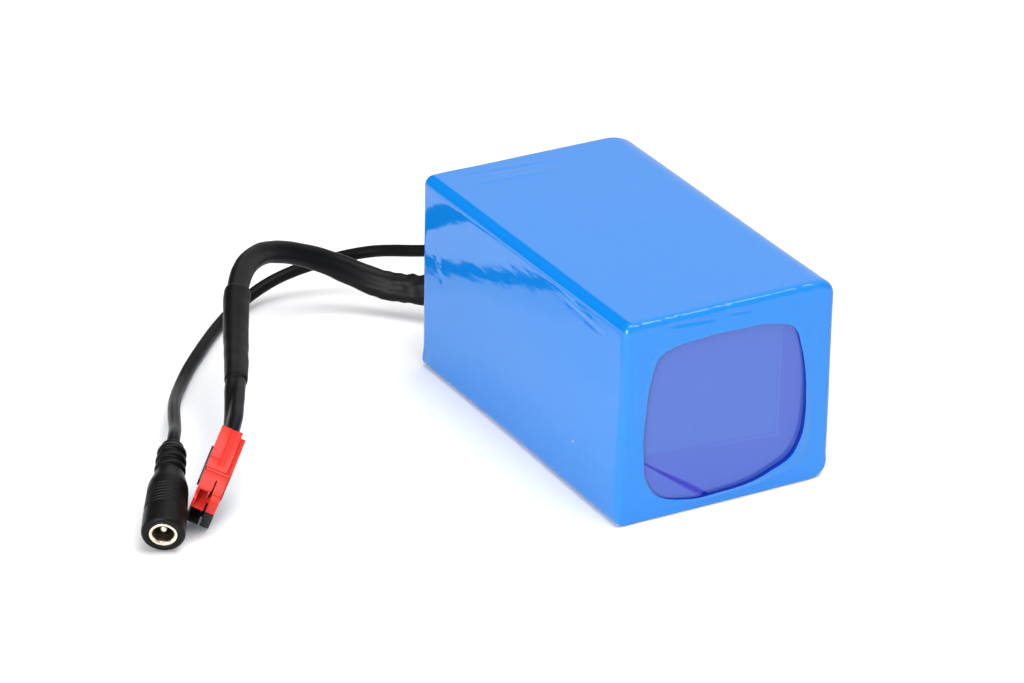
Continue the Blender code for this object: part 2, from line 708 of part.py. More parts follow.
def build_housing(name, connector, level, material):
    """A square housing with a rail on its right side, a wire bore behind and a half-open nose."""
    half = HOUSING_SIDE / 2
    frame = bpy.data.objects.new(f"{name}_frame", None)
    pack.objects.link(frame)
    frame.parent = connector
    frame.location = (0, 0, level)
    housing = box(name, (-half, -HOUSING_LENGTH, -half), (HOUSING_BODY_RIGHT, 0, half), material, frame)
    rail_low = (HOUSING_BODY_RIGHT - 0.5 * MM, -14.6 * MM, -2.7 * MM)
    boolean(housing, box(f"{name}_rail", rail_low, (half, -1.3 * MM, 2.7 * MM), parent=frame), "UNION")
    bore = rod(f"{name}_bore", (BORE_X, -11 * MM, 0), (BORE_X, 1 * MM, 0), 2.15 * MM, 20, parent=frame)
    boolean(housing, bore)
    for cutter in housing_cutters(name, frame):
        boolean(housing, cutter)
    return frame


def build_contact(colour, frame):
    """A flat contact on a crimp barrel, turning about an upright axis in its frame's barrel."""
    pivot = bpy.data.objects.new(f"contact_{colour}_pivot", None)
    pack.objects.link(pivot)
    pivot.parent = frame
    pivot.location = (BORE_X, CONTACT_PIVOT_Y, 0)
    name = f"contact_{colour}"
    barrel = rod(name, (0, -5.5 * MM, 0), (0, 3.3 * MM, 0), 1.8 * MM, 16, "metal", pivot)
    blade_low = (-0.1 * MM, -15.9 * MM, -2.2 * MM)
    blade_high = (0.7 * MM, -5.1 * MM, 2.2 * MM)
    blade = box(f"{name}_blade", blade_low, blade_high, parent=pivot)
    bevelled(blade, 0.25 * MM)
    boolean(barrel, blade, "UNION")
    crimp = rod(f"{name}_crimp", (0, 0.4 * MM, 0), (0, 4 * MM, 0), 1.2 * MM, 12, parent=pivot)
    boolean(barrel, crimp)


def build_leaf(colour, frame):
    """The leaf spring behind a contact: a shallow arch between the blade and the housing's nose."""
    steps = 8
    ends_x = 1.22 * MM
    rise = 0.2 * MM
    bm = bmesh.new()
    bmesh.ops.create_grid(bm, x_segments=1, y_segments=steps, size=0.5)
    for vert in bm.verts:
        share = vert.co.y + 0.5
        bow = ends_x - rise * sin(pi * share)
        vert.co = (bow, (-21.6 + 10.2 * share) * MM, vert.co.x * 3.8 * MM)
    data = bpy.data.meshes.new(f"leaf_spring_{colour}")
    bm.to_mesh(data)
    bm.free()
    leaf = place(data, f"leaf_spring_{colour}", "spring_steel", frame)
    solid = leaf.modifiers.new("thickness", "SOLIDIFY")
    solid.thickness = 0.2 * MM
    solid.offset = 0.0


def build_connector(connector):
    level = HOUSING_PITCH / 2
    for colour, height in (("red", level), ("black", -level)):
        frame = build_housing(f"housing_{colour}", connector, height, f"housing_{colour}")
        build_contact(colour, frame)
        build_leaf(colour, frame)


clear_scene()
pack = make_collection("battery_pack")
cutters = make_collection("cutters")
build_wraps()
build_boards()
build_spacer()
build_cells()
build_plates()
build_bms()
build_sense_wires()
connector_frame = frame_empty(
    "connector_frame", CONNECTOR_PLACE, turned_frame(CONNECTOR_YAW, CONNECTOR_PITCH, CONNECTOR_ROLL)
)
socket_frame = frame_empty("socket_frame", SOCKET_PLACE, turned_frame(SOCKET_YAW, SOCKET_PITCH))
build_discharge_lead(connector_frame)
build_charge_lead(socket_frame)
build_socket(socket_frame)
build_connector(connector_frame)
bpy.context.view_layer.update()
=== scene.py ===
"""A rechargeable battery block in two shrink films, with a charging lead and a discharge lead.

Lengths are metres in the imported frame: the origin lies under the middle of the block, +X runs
across it, +Y along it towards the end that the leads leave, and +Z up.
"""

import logging
from dataclasses import dataclass, field
from enum import Enum
from math import pi, radians

import bpy
import numpy as np
from mathutils import Matrix, Vector


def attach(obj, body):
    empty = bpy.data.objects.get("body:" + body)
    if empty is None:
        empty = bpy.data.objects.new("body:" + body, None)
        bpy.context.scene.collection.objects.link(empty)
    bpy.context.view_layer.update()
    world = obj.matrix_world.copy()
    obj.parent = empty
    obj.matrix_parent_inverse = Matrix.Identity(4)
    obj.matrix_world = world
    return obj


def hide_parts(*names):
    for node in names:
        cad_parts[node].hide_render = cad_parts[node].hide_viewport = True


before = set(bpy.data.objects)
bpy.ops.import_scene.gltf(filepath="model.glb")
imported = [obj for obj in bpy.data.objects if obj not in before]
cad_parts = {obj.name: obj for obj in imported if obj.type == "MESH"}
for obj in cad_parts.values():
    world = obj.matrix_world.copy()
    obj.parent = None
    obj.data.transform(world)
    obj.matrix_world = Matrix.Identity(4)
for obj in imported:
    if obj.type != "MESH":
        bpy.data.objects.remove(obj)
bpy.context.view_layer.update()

LOG = logging.getLogger("battery_block")
MM = 0.001
BODY = "pack"
Array = np.ndarray
Point = tuple[float, float, float]
Colour = tuple[float, float, float]


# ---------------------------------------------------------------- surfaces


def unit(vectors: Array) -> Array:
    """Vectors divided by their own lengths.

    Args:
        vectors: an array whose last axis holds x, y and z.

    Returns:
        The same array with every vector one long.
    """
    return vectors / np.linalg.norm(vectors, axis=-1, keepdims=True)


def smoothstep(low: float, high: float, value: Array) -> Array:
    """The curve 3t^2 - 2t^3 of t, where t runs from 0 at low to 1 at high and is held beyond them.

    Args:
        low: the value where the step begins.
        high: the value where it is complete.
        value: the numbers to pass through the step.

    Returns:
        Numbers from 0 to 1.
    """
    t = np.clip((value - low) / (high - low), 0.0, 1.0)
    return t * t * (3.0 - 2.0 * t)


def waviness(points: Array, wavelength: float, seed: int, waves: int = 14) -> Array:
    """A gentle unevenness from -1 to 1: the mean of sine waves in seeded directions.

    Each wave is sin(2 pi (d . p) / w + a) with its own direction d, length w near the given one
    and start a.

    Args:
        points: positions, with x, y and z on the last axis.
        wavelength: the waves' usual length.
        seed: the seed of their directions, lengths and starts.
        waves: how many are added.

    Returns:
        One number for each point.
    """
    rng = np.random.default_rng(seed)
    ways = unit(rng.normal(size=(waves, 3)))
    lengths = wavelength * rng.uniform(0.7, 1.5, waves)
    starts = rng.uniform(0.0, 2.0 * pi, waves)
    phases = points @ (ways / lengths[:, None]).T * 2.0 * pi + starts
    return np.sin(phases).mean(axis=-1) * 1.8


def grid_faces(rows: int, columns: int, wrap_rows: bool, wrap_columns: bool) -> Array:
    """Quads between neighbouring rows and columns of a grid of points.

    Args:
        rows: how many rows the grid has.
        columns: how many points a row has.
        wrap_rows: whether the last row joins the first.
        wrap_columns: whether each row's last point joins its first.

    Returns:
        An array of four point numbers for each quad.
    """
    last_row = rows if wrap_rows else rows - 1
    last_column = columns if wrap_columns else columns - 1
    r, c = np.meshgrid(np.arange(last_row), np.arange(last_column), indexing="ij")
    r, c = r.ravel(), c.ravel()
    r2, c2 = (r + 1) % rows, (c + 1) % columns
    return np.column_stack([r * columns + c, r * columns + c2, r2 * columns + c2, r2 * columns + c])


def signed_volume(points: Array, triangles: Array) -> float:
    """A closed surface's volume: a sixth of the sum of a . (b x c) over its triangles.

    Args:
        points: the vertices.
        triangles: three vertex numbers for each triangle.

    Returns:
        The volume, negative where the faces point inwards.
    """
    a, b, c = (points[triangles[:, k]] for k in range(3))
    return float(np.einsum("ij,ij->i", a, np.cross(b, c)).sum() / 6.0)


def closed_piece(
    name: str, grid: Array, wrap_rows: bool = False, masks: dict[str, Array] | None = None
) -> bpy.types.Object:
    """A closed surface from a grid of points whose rows are rings.

    Where the rows don't join end to end, each end ring is closed by a fan to its own middle.

    Args:
        name: the piece's name.
        grid: points, as rows by columns by three.
        wrap_rows: whether the last ring joins the first.
        masks: named numbers, one or three for each grid point, that a finish can read.

    Returns:
        The new object, at the origin.
    """
    rows, columns, _ = grid.shape
    points = grid.reshape(-1, 3)
    quads = grid_faces(rows, columns, wrap_rows, True)
    fans = np.empty((0, 3), int)
    if not wrap_rows:
        first, last = np.arange(columns), (rows - 1) * columns + np.arange(columns)
        count = len(points)
        points = np.vstack([points, grid[0].mean(axis=0), grid[-1].mean(axis=0)])
        start = np.column_stack([np.full(columns, count), np.roll(first, -1), first])
        end = np.column_stack([np.full(columns, count + 1), last, np.roll(last, -1)])
        fans = np.vstack([start, end])
    triangles = np.vstack([quads[:, :3], quads[:, [0, 2, 3]], fans])
    if signed_volume(points, triangles) < 0:
        quads, fans = quads[:, ::-1], fans[:, ::-1]
    mesh = bpy.data.meshes.new(name)
    mesh.from_pydata(points.tolist(), [], quads.tolist() + fans.tolist())
    mesh.shade_smooth()
    for mask, values in (masks or {}).items():
        flat = values.reshape(rows * columns, -1)
        missing = len(points) - len(flat)
        if missing:
            flat = np.vstack([flat, values[0].reshape(columns, -1).mean(0), values[-1].reshape(columns, -1).mean(0)])
        kind = "FLOAT_VECTOR" if flat.shape[1] == 3 else "FLOAT"
        layer = mesh.attributes.new(mask, kind, "POINT")
        layer.data.foreach_set("vector" if kind == "FLOAT_VECTOR" else "value", flat.astype(np.float32).ravel())
    piece = bpy.data.objects.new(name, mesh)
    bpy.context.scene.collection.objects.link(piece)
    LOG.info("%s: %d points", name, len(points))
    return piece


def smooth_line(points: Array, first_way: Array, last_way: Array, spacing: float) -> Array:
    """Evenly spaced points on the cubic spline through points, with the directions at its ends given.

    Args:
        points: the points that the line passes through.
        first_way: the unit direction at the first one.
        last_way: the unit direction at the last one.
        spacing: the distance between the new points.

    Returns:
        The new points, as an array of rows.
    """
    steps = np.linalg.norm(np.diff(points, axis=0), axis=1)
    count = len(points)
    system = np.zeros((count, count))
    wanted = np.zeros((count, 3))
    system[0, 0] = system[-1, -1] = 1.0
    wanted[0], wanted[-1] = first_way, last_way
    inner = np.arange(1, count - 1)
    before, after = steps[:-1], steps[1:]
    system[inner, inner - 1] = after
    system[inner, inner] = 2.0 * (before + after)
    system[inner, inner + 1] = before
    behind, ahead = np.diff(points, axis=0)[:-1], np.diff(points, axis=0)[1:]
    wanted[1:-1] = 3.0 * (behind * (after / before)[:, None] + ahead * (before / after)[:, None])
    ways = np.linalg.solve(system, wanted)[:, None]
    t = np.linspace(0.0, 1.0, 40)[None, :, None]
    knots, reach = points[:, None], steps[:, None, None]
    fine = (
        (2 * t**3 - 3 * t**2 + 1) * knots[:-1]
        + (3 * t**2 - 2 * t**3) * knots[1:]
        + reach * (t**3 - 2 * t**2 + t) * ways[:-1]
        + reach * (t**3 - t**2) * ways[1:]
    )
    fine = np.vstack([points[:1], fine[:, 1:].reshape(-1, 3)])
    along = np.concatenate([[0.0], np.cumsum(np.linalg.norm(np.diff(fine, axis=0), axis=1))])
    stations = np.linspace(0.0, along[-1], round(along[-1] / spacing) + 1)
    return np.column_stack([np.interp(stations, along, fine[:, k]) for k in range(3)])


def distances(line: Array) -> Array:
    """The distance along a line at each of its points, from 0."""
    return np.concatenate([[0.0], np.cumsum(np.linalg.norm(np.diff(line, axis=0), axis=1))])


# ---------------------------------------------------------------- node sketching


class Sketch:
    """A node tree with short ways to add nodes and join their sockets."""

    def __init__(self, tree: bpy.types.NodeTree) -> None:
        """Keeps the tree."""
        self.tree = tree

    def add(self, kind: str, **settings: object) -> bpy.types.Node:
        """A new node of a type, with the given properties set."""
        node = self.tree.nodes.new(kind)
        for key, value in settings.items():
            setattr(node, key, value)
        return node

    def put(self, socket: bpy.types.NodeSocket, value: object) -> None:
        """Joins value to an input socket if it is a socket, or stores it there if it is a number or colour."""
        if isinstance(value, bpy.types.NodeSocket):
            self.tree.links.new(value, socket)
        else:
            socket.default_value = value

    def math(self, operation: str, a: object, b: object = 0.0, clamp: bool = False) -> bpy.types.NodeSocket:
        """The result of a Math node on one or two values."""
        node = self.add("ShaderNodeMath", operation=operation, use_clamp=clamp)
        self.put(node.inputs[0], a)
        self.put(node.inputs[1], b)
        return node.outputs[0]

    def noise(self, vector: object, scale: object, detail: float = 3.0, roughness: float = 0.5) -> bpy.types.NodeSocket:
        """The grey output of a Noise node, from about 0.25 to 0.75."""
        node = self.add("ShaderNodeTexNoise")
        self.put(node.inputs["Vector"], vector)
        self.put(node.inputs["Scale"], scale)
        node.inputs["Detail"].default_value = detail
        node.inputs["Roughness"].default_value = roughness
        return node.outputs["Fac"]

    def ramp(self, value: object, low: object, high: object, to_low: object = 0.0, to_high: object = 1.0) -> bpy.types.NodeSocket:
        """A smooth map of low..high to to_low..to_high, held beyond them."""
        node = self.add("ShaderNodeMapRange", interpolation_type="SMOOTHSTEP")
        for socket, given in zip(node.inputs[:5], (value, low, high, to_low, to_high)):
            self.put(socket, given)
        return node.outputs[0]

    def mix(self, share: object, a: object, b: object) -> bpy.types.NodeSocket:
        """The colour between a and b at a share."""
        node = self.add("ShaderNodeMix", data_type="RGBA")
        self.put(node.inputs["Factor"], share)
        for socket, colour in ((node.inputs[6], a), (node.inputs[7], b)):
            self.put(socket, (*colour, 1.0) if isinstance(colour, tuple) else colour)
        return node.outputs[2]

    def bump(self, height: object, distance: float, strength: float = 1.0, normal: object = None) -> bpy.types.NodeSocket:
        """The normal that a height of so many metres gives."""
        node = self.add("ShaderNodeBump")
        node.inputs["Strength"].default_value = strength
        node.inputs["Distance"].default_value = distance
        self.put(node.inputs["Height"], height)
        if normal is not None:
            self.put(node.inputs["Normal"], normal)
        return node.outputs["Normal"]


def new_group(name: str, inputs: dict[str, float | str], outputs: dict[str, str]) -> tuple[Sketch, bpy.types.Node, bpy.types.Node]:
    """An empty shader group with named sockets.

    Args:
        name: the group's name.
        inputs: each input's name with its default number, or with "vector" or "colour".
        outputs: each output's name with "value", "vector" or "colour".

    Returns:
        A sketch of its tree, its input node and its output node.
    """
    kinds = {"value": "NodeSocketFloat", "vector": "NodeSocketVector", "colour": "NodeSocketColor"}
    tree = bpy.data.node_groups.new(name, "ShaderNodeTree")
    for title, given in inputs.items():
        kind = kinds[given] if isinstance(given, str) else "NodeSocketFloat"
        socket = tree.interface.new_socket(title, in_out="INPUT", socket_type=kind)
        if not isinstance(given, str):
            socket.default_value = given
    for title, given in outputs.items():
        tree.interface.new_socket(title, in_out="OUTPUT", socket_type=kinds[given])
    sketch = Sketch(tree)
    return sketch, sketch.add("NodeGroupInput"), sketch.add("NodeGroupOutput")


def mottle_group() -> bpy.types.NodeTree:
    """Uneven colour and gloss: two sizes of noise, as a shade about 1 and a value about 0."""
    name = "mottle"
    if name in bpy.data.node_groups:
        return bpy.data.node_groups[name]
    inputs = {"Place": "vector", "Size": 0.01, "Amount": 0.1}
    sketch, given, made = new_group(name, inputs, {"Shade": "value", "Unevenness": "value"})
    scale = sketch.math("DIVIDE", 1.0, given.outputs["Size"])
    broad = sketch.noise(given.outputs["Place"], scale, 3.0, 0.55)
    fine = sketch.noise(given.outputs["Place"], sketch.math("MULTIPLY", scale, 7.0), 2.0, 0.5)
    both = sketch.math("ADD", sketch.math("MULTIPLY", broad, 0.7), sketch.math("MULTIPLY", fine, 0.3))
    centred = sketch.math("MULTIPLY", sketch.math("SUBTRACT", both, 0.5), 2.0)
    uneven = sketch.math("MULTIPLY", centred, given.outputs["Amount"])
    sketch.put(made.inputs["Unevenness"], uneven)
    sketch.put(made.inputs["Shade"], sketch.math("ADD", 1.0, uneven))
    return sketch.tree


def specks_group() -> bpy.types.NodeTree:
    """Sparse dust: small dots at the middles of some Voronoi cells, as a mask."""
    name = "specks"
    if name in bpy.data.node_groups:
        return bpy.data.node_groups[name]
    inputs = {"Place": "vector", "Spacing": 0.01, "Radius": 0.0002, "Share": 0.2}
    sketch, given, made = new_group(name, inputs, {"Mask": "value"})
    cells = sketch.add("ShaderNodeTexVoronoi")
    sketch.put(cells.inputs["Vector"], given.outputs["Place"])
    sketch.put(cells.inputs["Scale"], sketch.math("DIVIDE", 1.0, given.outputs["Spacing"]))
    away = sketch.math("MULTIPLY", cells.outputs["Distance"], given.outputs["Spacing"])
    dot = sketch.math("LESS_THAN", away, given.outputs["Radius"])
    separate = sketch.add("ShaderNodeSeparateColor")
    sketch.put(separate.inputs[0], cells.outputs["Color"])
    chosen = sketch.math("LESS_THAN", separate.outputs[0], given.outputs["Share"])
    sketch.put(made.inputs["Mask"], sketch.math("MULTIPLY", dot, chosen))
    return sketch.tree


def use_group(sketch: Sketch, tree: bpy.types.NodeTree, **values: object) -> bpy.types.Node:
    """A group node in a material, with its inputs joined or set by name."""
    node = sketch.add("ShaderNodeGroup", node_tree=tree)
    for title, value in values.items():
        sketch.put(node.inputs[title], value)
    return node


# ---------------------------------------------------------------- finishes


class Place(Enum):
    """Where a finish's pattern is laid out."""

    OBJECT = "object"
    FLOW = "flow"


@dataclass(frozen=True)
class Finish:
    """A surface with uneven colour and gloss, fine grain and a little dust.

    Attributes:
        name: the material's name.
        colour: its linear base colour.
        roughness: its mean roughness.
        metallic: 1 on bare metal.
        ior: the refractive index that sets its gloss.
        mottle: how much colour and gloss vary, as a share.
        mottle_size: the size of that variation.
        grain: the height of its fine grain.
        grain_size: the size of its fine grain.
        stretch: how many times longer the patterns are along Y, or along the flow, than across.
        dust: the share of dust spots that show.
        place: where the patterns are laid out.
    """

    name: str
    colour: Colour
    roughness: float
    metallic: float = 0.0
    ior: float = 1.5
    mottle: float = 0.08
    mottle_size: float = 0.008
    grain: float = 0.00002
    grain_size: float = 0.0004
    stretch: float = 1.0
    dust: float = 0.0
    place: Place = Place.OBJECT

    def coordinates(self, sketch: Sketch) -> bpy.types.NodeSocket:
        """The position that the patterns read, drawn out along the finish's grain."""
        if self.place is Place.FLOW:
            source = sketch.add("ShaderNodeAttribute", attribute_name="flow").outputs["Vector"]
            scale = (1.0 / self.stretch, 1.0, 1.0)
        else:
            source = sketch.add("ShaderNodeTexCoord").outputs["Object"]
            scale = (1.0, 1.0 / self.stretch, 1.0)
        mapping = sketch.add("ShaderNodeMapping")
        sketch.put(mapping.inputs["Vector"], source)
        mapping.inputs["Scale"].default_value = scale
        return mapping.outputs[0]

    def colour_at(self, sketch: Sketch, place: bpy.types.NodeSocket, shade: bpy.types.NodeSocket) -> bpy.types.NodeSocket:
        """The base colour, shaded by the mottle and dusted."""
        hsv = sketch.add("ShaderNodeHueSaturation")
        hsv.inputs["Color"].default_value = (*self.colour, 1.0)
        sketch.put(hsv.inputs["Value"], shade)
        colour = hsv.outputs[0]
        if self.dust:
            dots = use_group(sketch, specks_group(), Place=place, Spacing=0.006, Radius=0.00016, Share=self.dust)
            colour = sketch.mix(dots.outputs["Mask"], colour, (0.55, 0.55, 0.56))
        return colour

    def normal_at(self, sketch: Sketch, place: bpy.types.NodeSocket) -> bpy.types.NodeSocket:
        """The normal with the fine grain."""
        return sketch.bump(sketch.noise(place, 1.0 / self.grain_size, 2.0), self.grain)

    def material(self) -> bpy.types.Material:
        """The finished material, made once."""
        title = f"{self.name}_finish"
        if title in bpy.data.materials:
            return bpy.data.materials[title]
        made = bpy.data.materials.new(title)
        made.use_nodes = True
        made.diffuse_color = (*self.colour, 1.0)
        sketch = Sketch(made.node_tree)
        shader = made.node_tree.nodes["Principled BSDF"]
        shader.inputs["Metallic"].default_value = self.metallic
        shader.inputs["IOR"].default_value = self.ior
        place = self.coordinates(sketch)
        mottle = use_group(sketch, mottle_group(), Place=place, Size=self.mottle_size, Amount=self.mottle)
        sketch.put(shader.inputs["Base Color"], self.colour_at(sketch, place, mottle.outputs["Shade"]))
        rough = sketch.math("ADD", self.roughness, sketch.math("MULTIPLY", mottle.outputs["Unevenness"], 0.5), True)
        sketch.put(shader.inputs["Roughness"], rough)
        sketch.put(shader.inputs["Normal"], self.normal_at(sketch, place))
        self.finish_off(sketch, shader)
        return made

    def finish_off(self, sketch: Sketch, shader: bpy.types.Node) -> None:
        """Nothing more on a plain finish."""


@dataclass(frozen=True)
class FilmFinish(Finish):
    """Glossy shrink film, darker where the mask named edge is set: painted shade in the gap under a cut edge and at the
    foot of a fold, over the cut edge's own deeper colour.

    A second mask says where the pale sheet behind shows through it, and also carries painted highlights along the
    sheet's edge ridges.

    Attributes:
        edge_shade_colour: the linear colour of painted shade under a cut edge and along a fold's foot, with the cut
            edge's own colour.
        sheet_and_highlight_colour: the linear colour over the pale sheet, also used for painted highlights on its edge
            ridges.
        streak: the height of the streaks that drawing the film tight leaves.
        streak_size: how wide a streak is.
    """

    edge_shade_colour: Colour = (0.01, 0.03, 0.25)
    sheet_and_highlight_colour: Colour = (0.055, 0.145, 0.42)
    streak: float = 0.00006
    streak_size: float = 0.005

    def colour_at(self, sketch: Sketch, place: bpy.types.NodeSocket, shade: bpy.types.NodeSocket) -> bpy.types.NodeSocket:
        """The film's colour, with painted shade at its edges and folds, and the pale sheet and painted ridge highlights
        showing through.
        """
        film = Finish.colour_at(self, sketch, place, shade)
        # painted shade under the edge mask; the pale sheet and painted highlights under the second mask
        edge = sketch.add("ShaderNodeAttribute", attribute_name="edge").outputs["Fac"]
        sheet_and_highlight = sketch.add("ShaderNodeAttribute", attribute_name="sheet_and_highlight").outputs["Fac"]
        backed = sketch.mix(sheet_and_highlight, film, self.sheet_and_highlight_colour)
        return sketch.mix(edge, backed, self.edge_shade_colour)

    def normal_at(self, sketch: Sketch, place: bpy.types.NodeSocket) -> bpy.types.NodeSocket:
        """The normal with streaks drawn out along the block, over the fine grain."""
        streaks = sketch.bump(sketch.noise(place, 1.0 / self.streak_size, 3.0, 0.6), self.streak)
        return sketch.bump(sketch.noise(place, 1.0 / self.grain_size, 2.0), self.grain, normal=streaks)


class Finishes(Enum):
    """Every finish on the block and its leads."""

    # The outer film's edge colour on its turned-in lips is its cut edge with painted shade of the gap beneath.
    OUTER_FILM = FilmFinish(
        "outer_film", (0.003, 0.165, 0.545), 0.055, mottle=0.03, mottle_size=0.03, grain=0.000002,
        grain_size=0.0012, stretch=3.5, dust=0.03, edge_shade_colour=(0.003, 0.02, 0.25),
    )
    # The inner film's edge colour is painted shade along the foot of its fold.
    INNER_FILM = FilmFinish(
        "inner_film", (0.044, 0.086, 0.385), 0.10, mottle=0.05, mottle_size=0.02, grain=0.000003,
        grain_size=0.001, dust=0.04, edge_shade_colour=(0.0, 0.006, 0.34),
    )
    SLEEVE = Finish(
        "sleeve", (0.005, 0.005, 0.0055), 0.38, ior=1.2, mottle=0.25, mottle_size=0.004, grain=0.00003,
        grain_size=0.0005, stretch=4.0, dust=0.12, place=Place.FLOW,
    )
    SLEEVE_OVER = Finish(
        "sleeve_over", (0.004, 0.004, 0.0043), 0.42, ior=1.18, mottle=0.3, mottle_size=0.004, grain=0.00004,
        grain_size=0.0004, stretch=3.0, dust=0.15, place=Place.FLOW,
    )
    CABLE = Finish(
        "cable", (0.005, 0.005, 0.0055), 0.40, ior=1.16, mottle=0.2, mottle_size=0.003, grain=0.00002,
        grain_size=0.0005, stretch=6.0, dust=0.1, place=Place.FLOW,
    )
    SOCKET = Finish(
        "socket", (0.005, 0.005, 0.005), 0.36, ior=1.2, mottle=0.18, mottle_size=0.004, grain=0.00002,
        grain_size=0.0003, dust=0.06,
    )
    SOCKET_METAL = Finish(
        "socket_metal", (0.80, 0.72, 0.60), 0.22, metallic=1.0, mottle=0.12, mottle_size=0.002,
        grain=0.000004, grain_size=0.0002,
    )
    HOUSING_RED = Finish(
        "housing_red", (0.52, 0.020, 0.011), 0.34, ior=1.30, mottle=0.08, mottle_size=0.004,
        grain=0.00001, grain_size=0.0004, dust=0.03,
    )
    HOUSING_BLACK = Finish(
        "housing_black", (0.006, 0.006, 0.0065), 0.30, ior=1.4, mottle=0.15, mottle_size=0.004,
        grain=0.00001, grain_size=0.0004,
    )
    CONTACT = Finish(
        "contact", (0.78, 0.76, 0.72), 0.25, metallic=1.0, mottle=0.12, mottle_size=0.002,
        grain=0.000004, grain_size=0.0002, stretch=5.0,
    )
    SPRING = Finish(
        "leaf_spring", (0.60, 0.60, 0.60), 0.3, metallic=1.0, mottle=0.1, mottle_size=0.002,
        grain=0.000004, grain_size=0.0002, stretch=6.0,
    )
    CELL = Finish("cell_can", (0.05, 0.36, 0.33), 0.32, mottle=0.06, mottle_size=0.01, dust=0.04)
    NICKEL = Finish(
        "nickel", (0.66, 0.64, 0.60), 0.3, metallic=1.0, mottle=0.15, mottle_size=0.003,
        grain=0.000008, grain_size=0.0003, stretch=8.0,
    )
    END_BOARD = Finish(
        "end_board", (0.33, 0.42, 0.16), 0.5, mottle=0.12, mottle_size=0.002, grain=0.00002,
        grain_size=0.0006,
    )
    PAPER = Finish(
        "insulating_paper", (0.50, 0.56, 0.42), 0.85, mottle=0.18, mottle_size=0.0015, grain=0.00004,
        grain_size=0.0003,
    )
    FOAM = Finish(
        "foam", (0.014, 0.014, 0.016), 0.95, mottle=0.3, mottle_size=0.001, grain=0.0001,
        grain_size=0.0006,
    )
    BOARD = Finish(
        "circuit_board", (0.006, 0.10, 0.035), 0.35, mottle=0.2, mottle_size=0.004, grain=0.00001,
        grain_size=0.0005,
    )
    CHIP = Finish("chip", (0.010, 0.010, 0.011), 0.5, mottle=0.15, mottle_size=0.001)
    WIRE_RED = Finish("wire_red", (0.45, 0.012, 0.008), 0.4, mottle=0.08, mottle_size=0.003)
    WIRE_BLACK = Finish("wire_black", (0.012, 0.012, 0.013), 0.4, mottle=0.15, mottle_size=0.003)
    WIRE_SENSE = Finish("wire_sense", (0.70, 0.52, 0.05), 0.4, mottle=0.08, mottle_size=0.003)
    FLOOR = Finish("floor", (0.90, 0.90, 0.90), 0.85, mottle=0.01, mottle_size=0.2, grain=0.0)


def dress(piece: bpy.types.Object, finish: Finishes, nodes: tuple[str, ...] = ()) -> bpy.types.Object:
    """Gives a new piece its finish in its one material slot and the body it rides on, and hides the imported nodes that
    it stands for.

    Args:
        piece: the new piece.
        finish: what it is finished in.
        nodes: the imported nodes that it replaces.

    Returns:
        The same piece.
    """
    piece.data.materials.clear()
    piece.data.materials.append(finish.value.material())
    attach(piece, BODY)
    if nodes:
        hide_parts(*nodes)
    return piece


# ---------------------------------------------------------------- the wrapped block


@dataclass(frozen=True)
class Crease:
    """A furrow and ridge in the film along a straight line, fading towards its ends.

    Attributes:
        start: one end.
        end: the other end.
        width: the distance across which it falls away.
        height: how far it stands out, or in where negative.
        twin: whether a furrow runs beside the ridge, on its lower side.
    """

    start: Point
    end: Point
    width: float
    height: float
    twin: bool = False

    def lift(self, points: Array) -> Array:
        """The crease's height at points: h exp(-(d/w)^2) sqrt(sin(pi t)), and less the same shifted by w if twin.

        Args:
            points: positions near the line.

        Returns:
            One number for each point.
        """
        start, end = np.array(self.start), np.array(self.end)
        way = end - start
        share = np.clip((points - start) @ way / (way @ way), 0.0, 1.0)
        away = points - (start + share[..., None] * way)
        across = np.linalg.norm(away, axis=-1)
        fade = np.sqrt(np.sin(pi * share) + 1e-9)
        shape = np.exp(-((across / self.width) ** 2))
        if self.twin:
            side = away - np.array([0.0, 0.0, 0.7 * self.width]) * 1.0
            shape = shape - np.exp(-((np.linalg.norm(side, axis=-1) / self.width) ** 2))
        return self.height * fade * shape


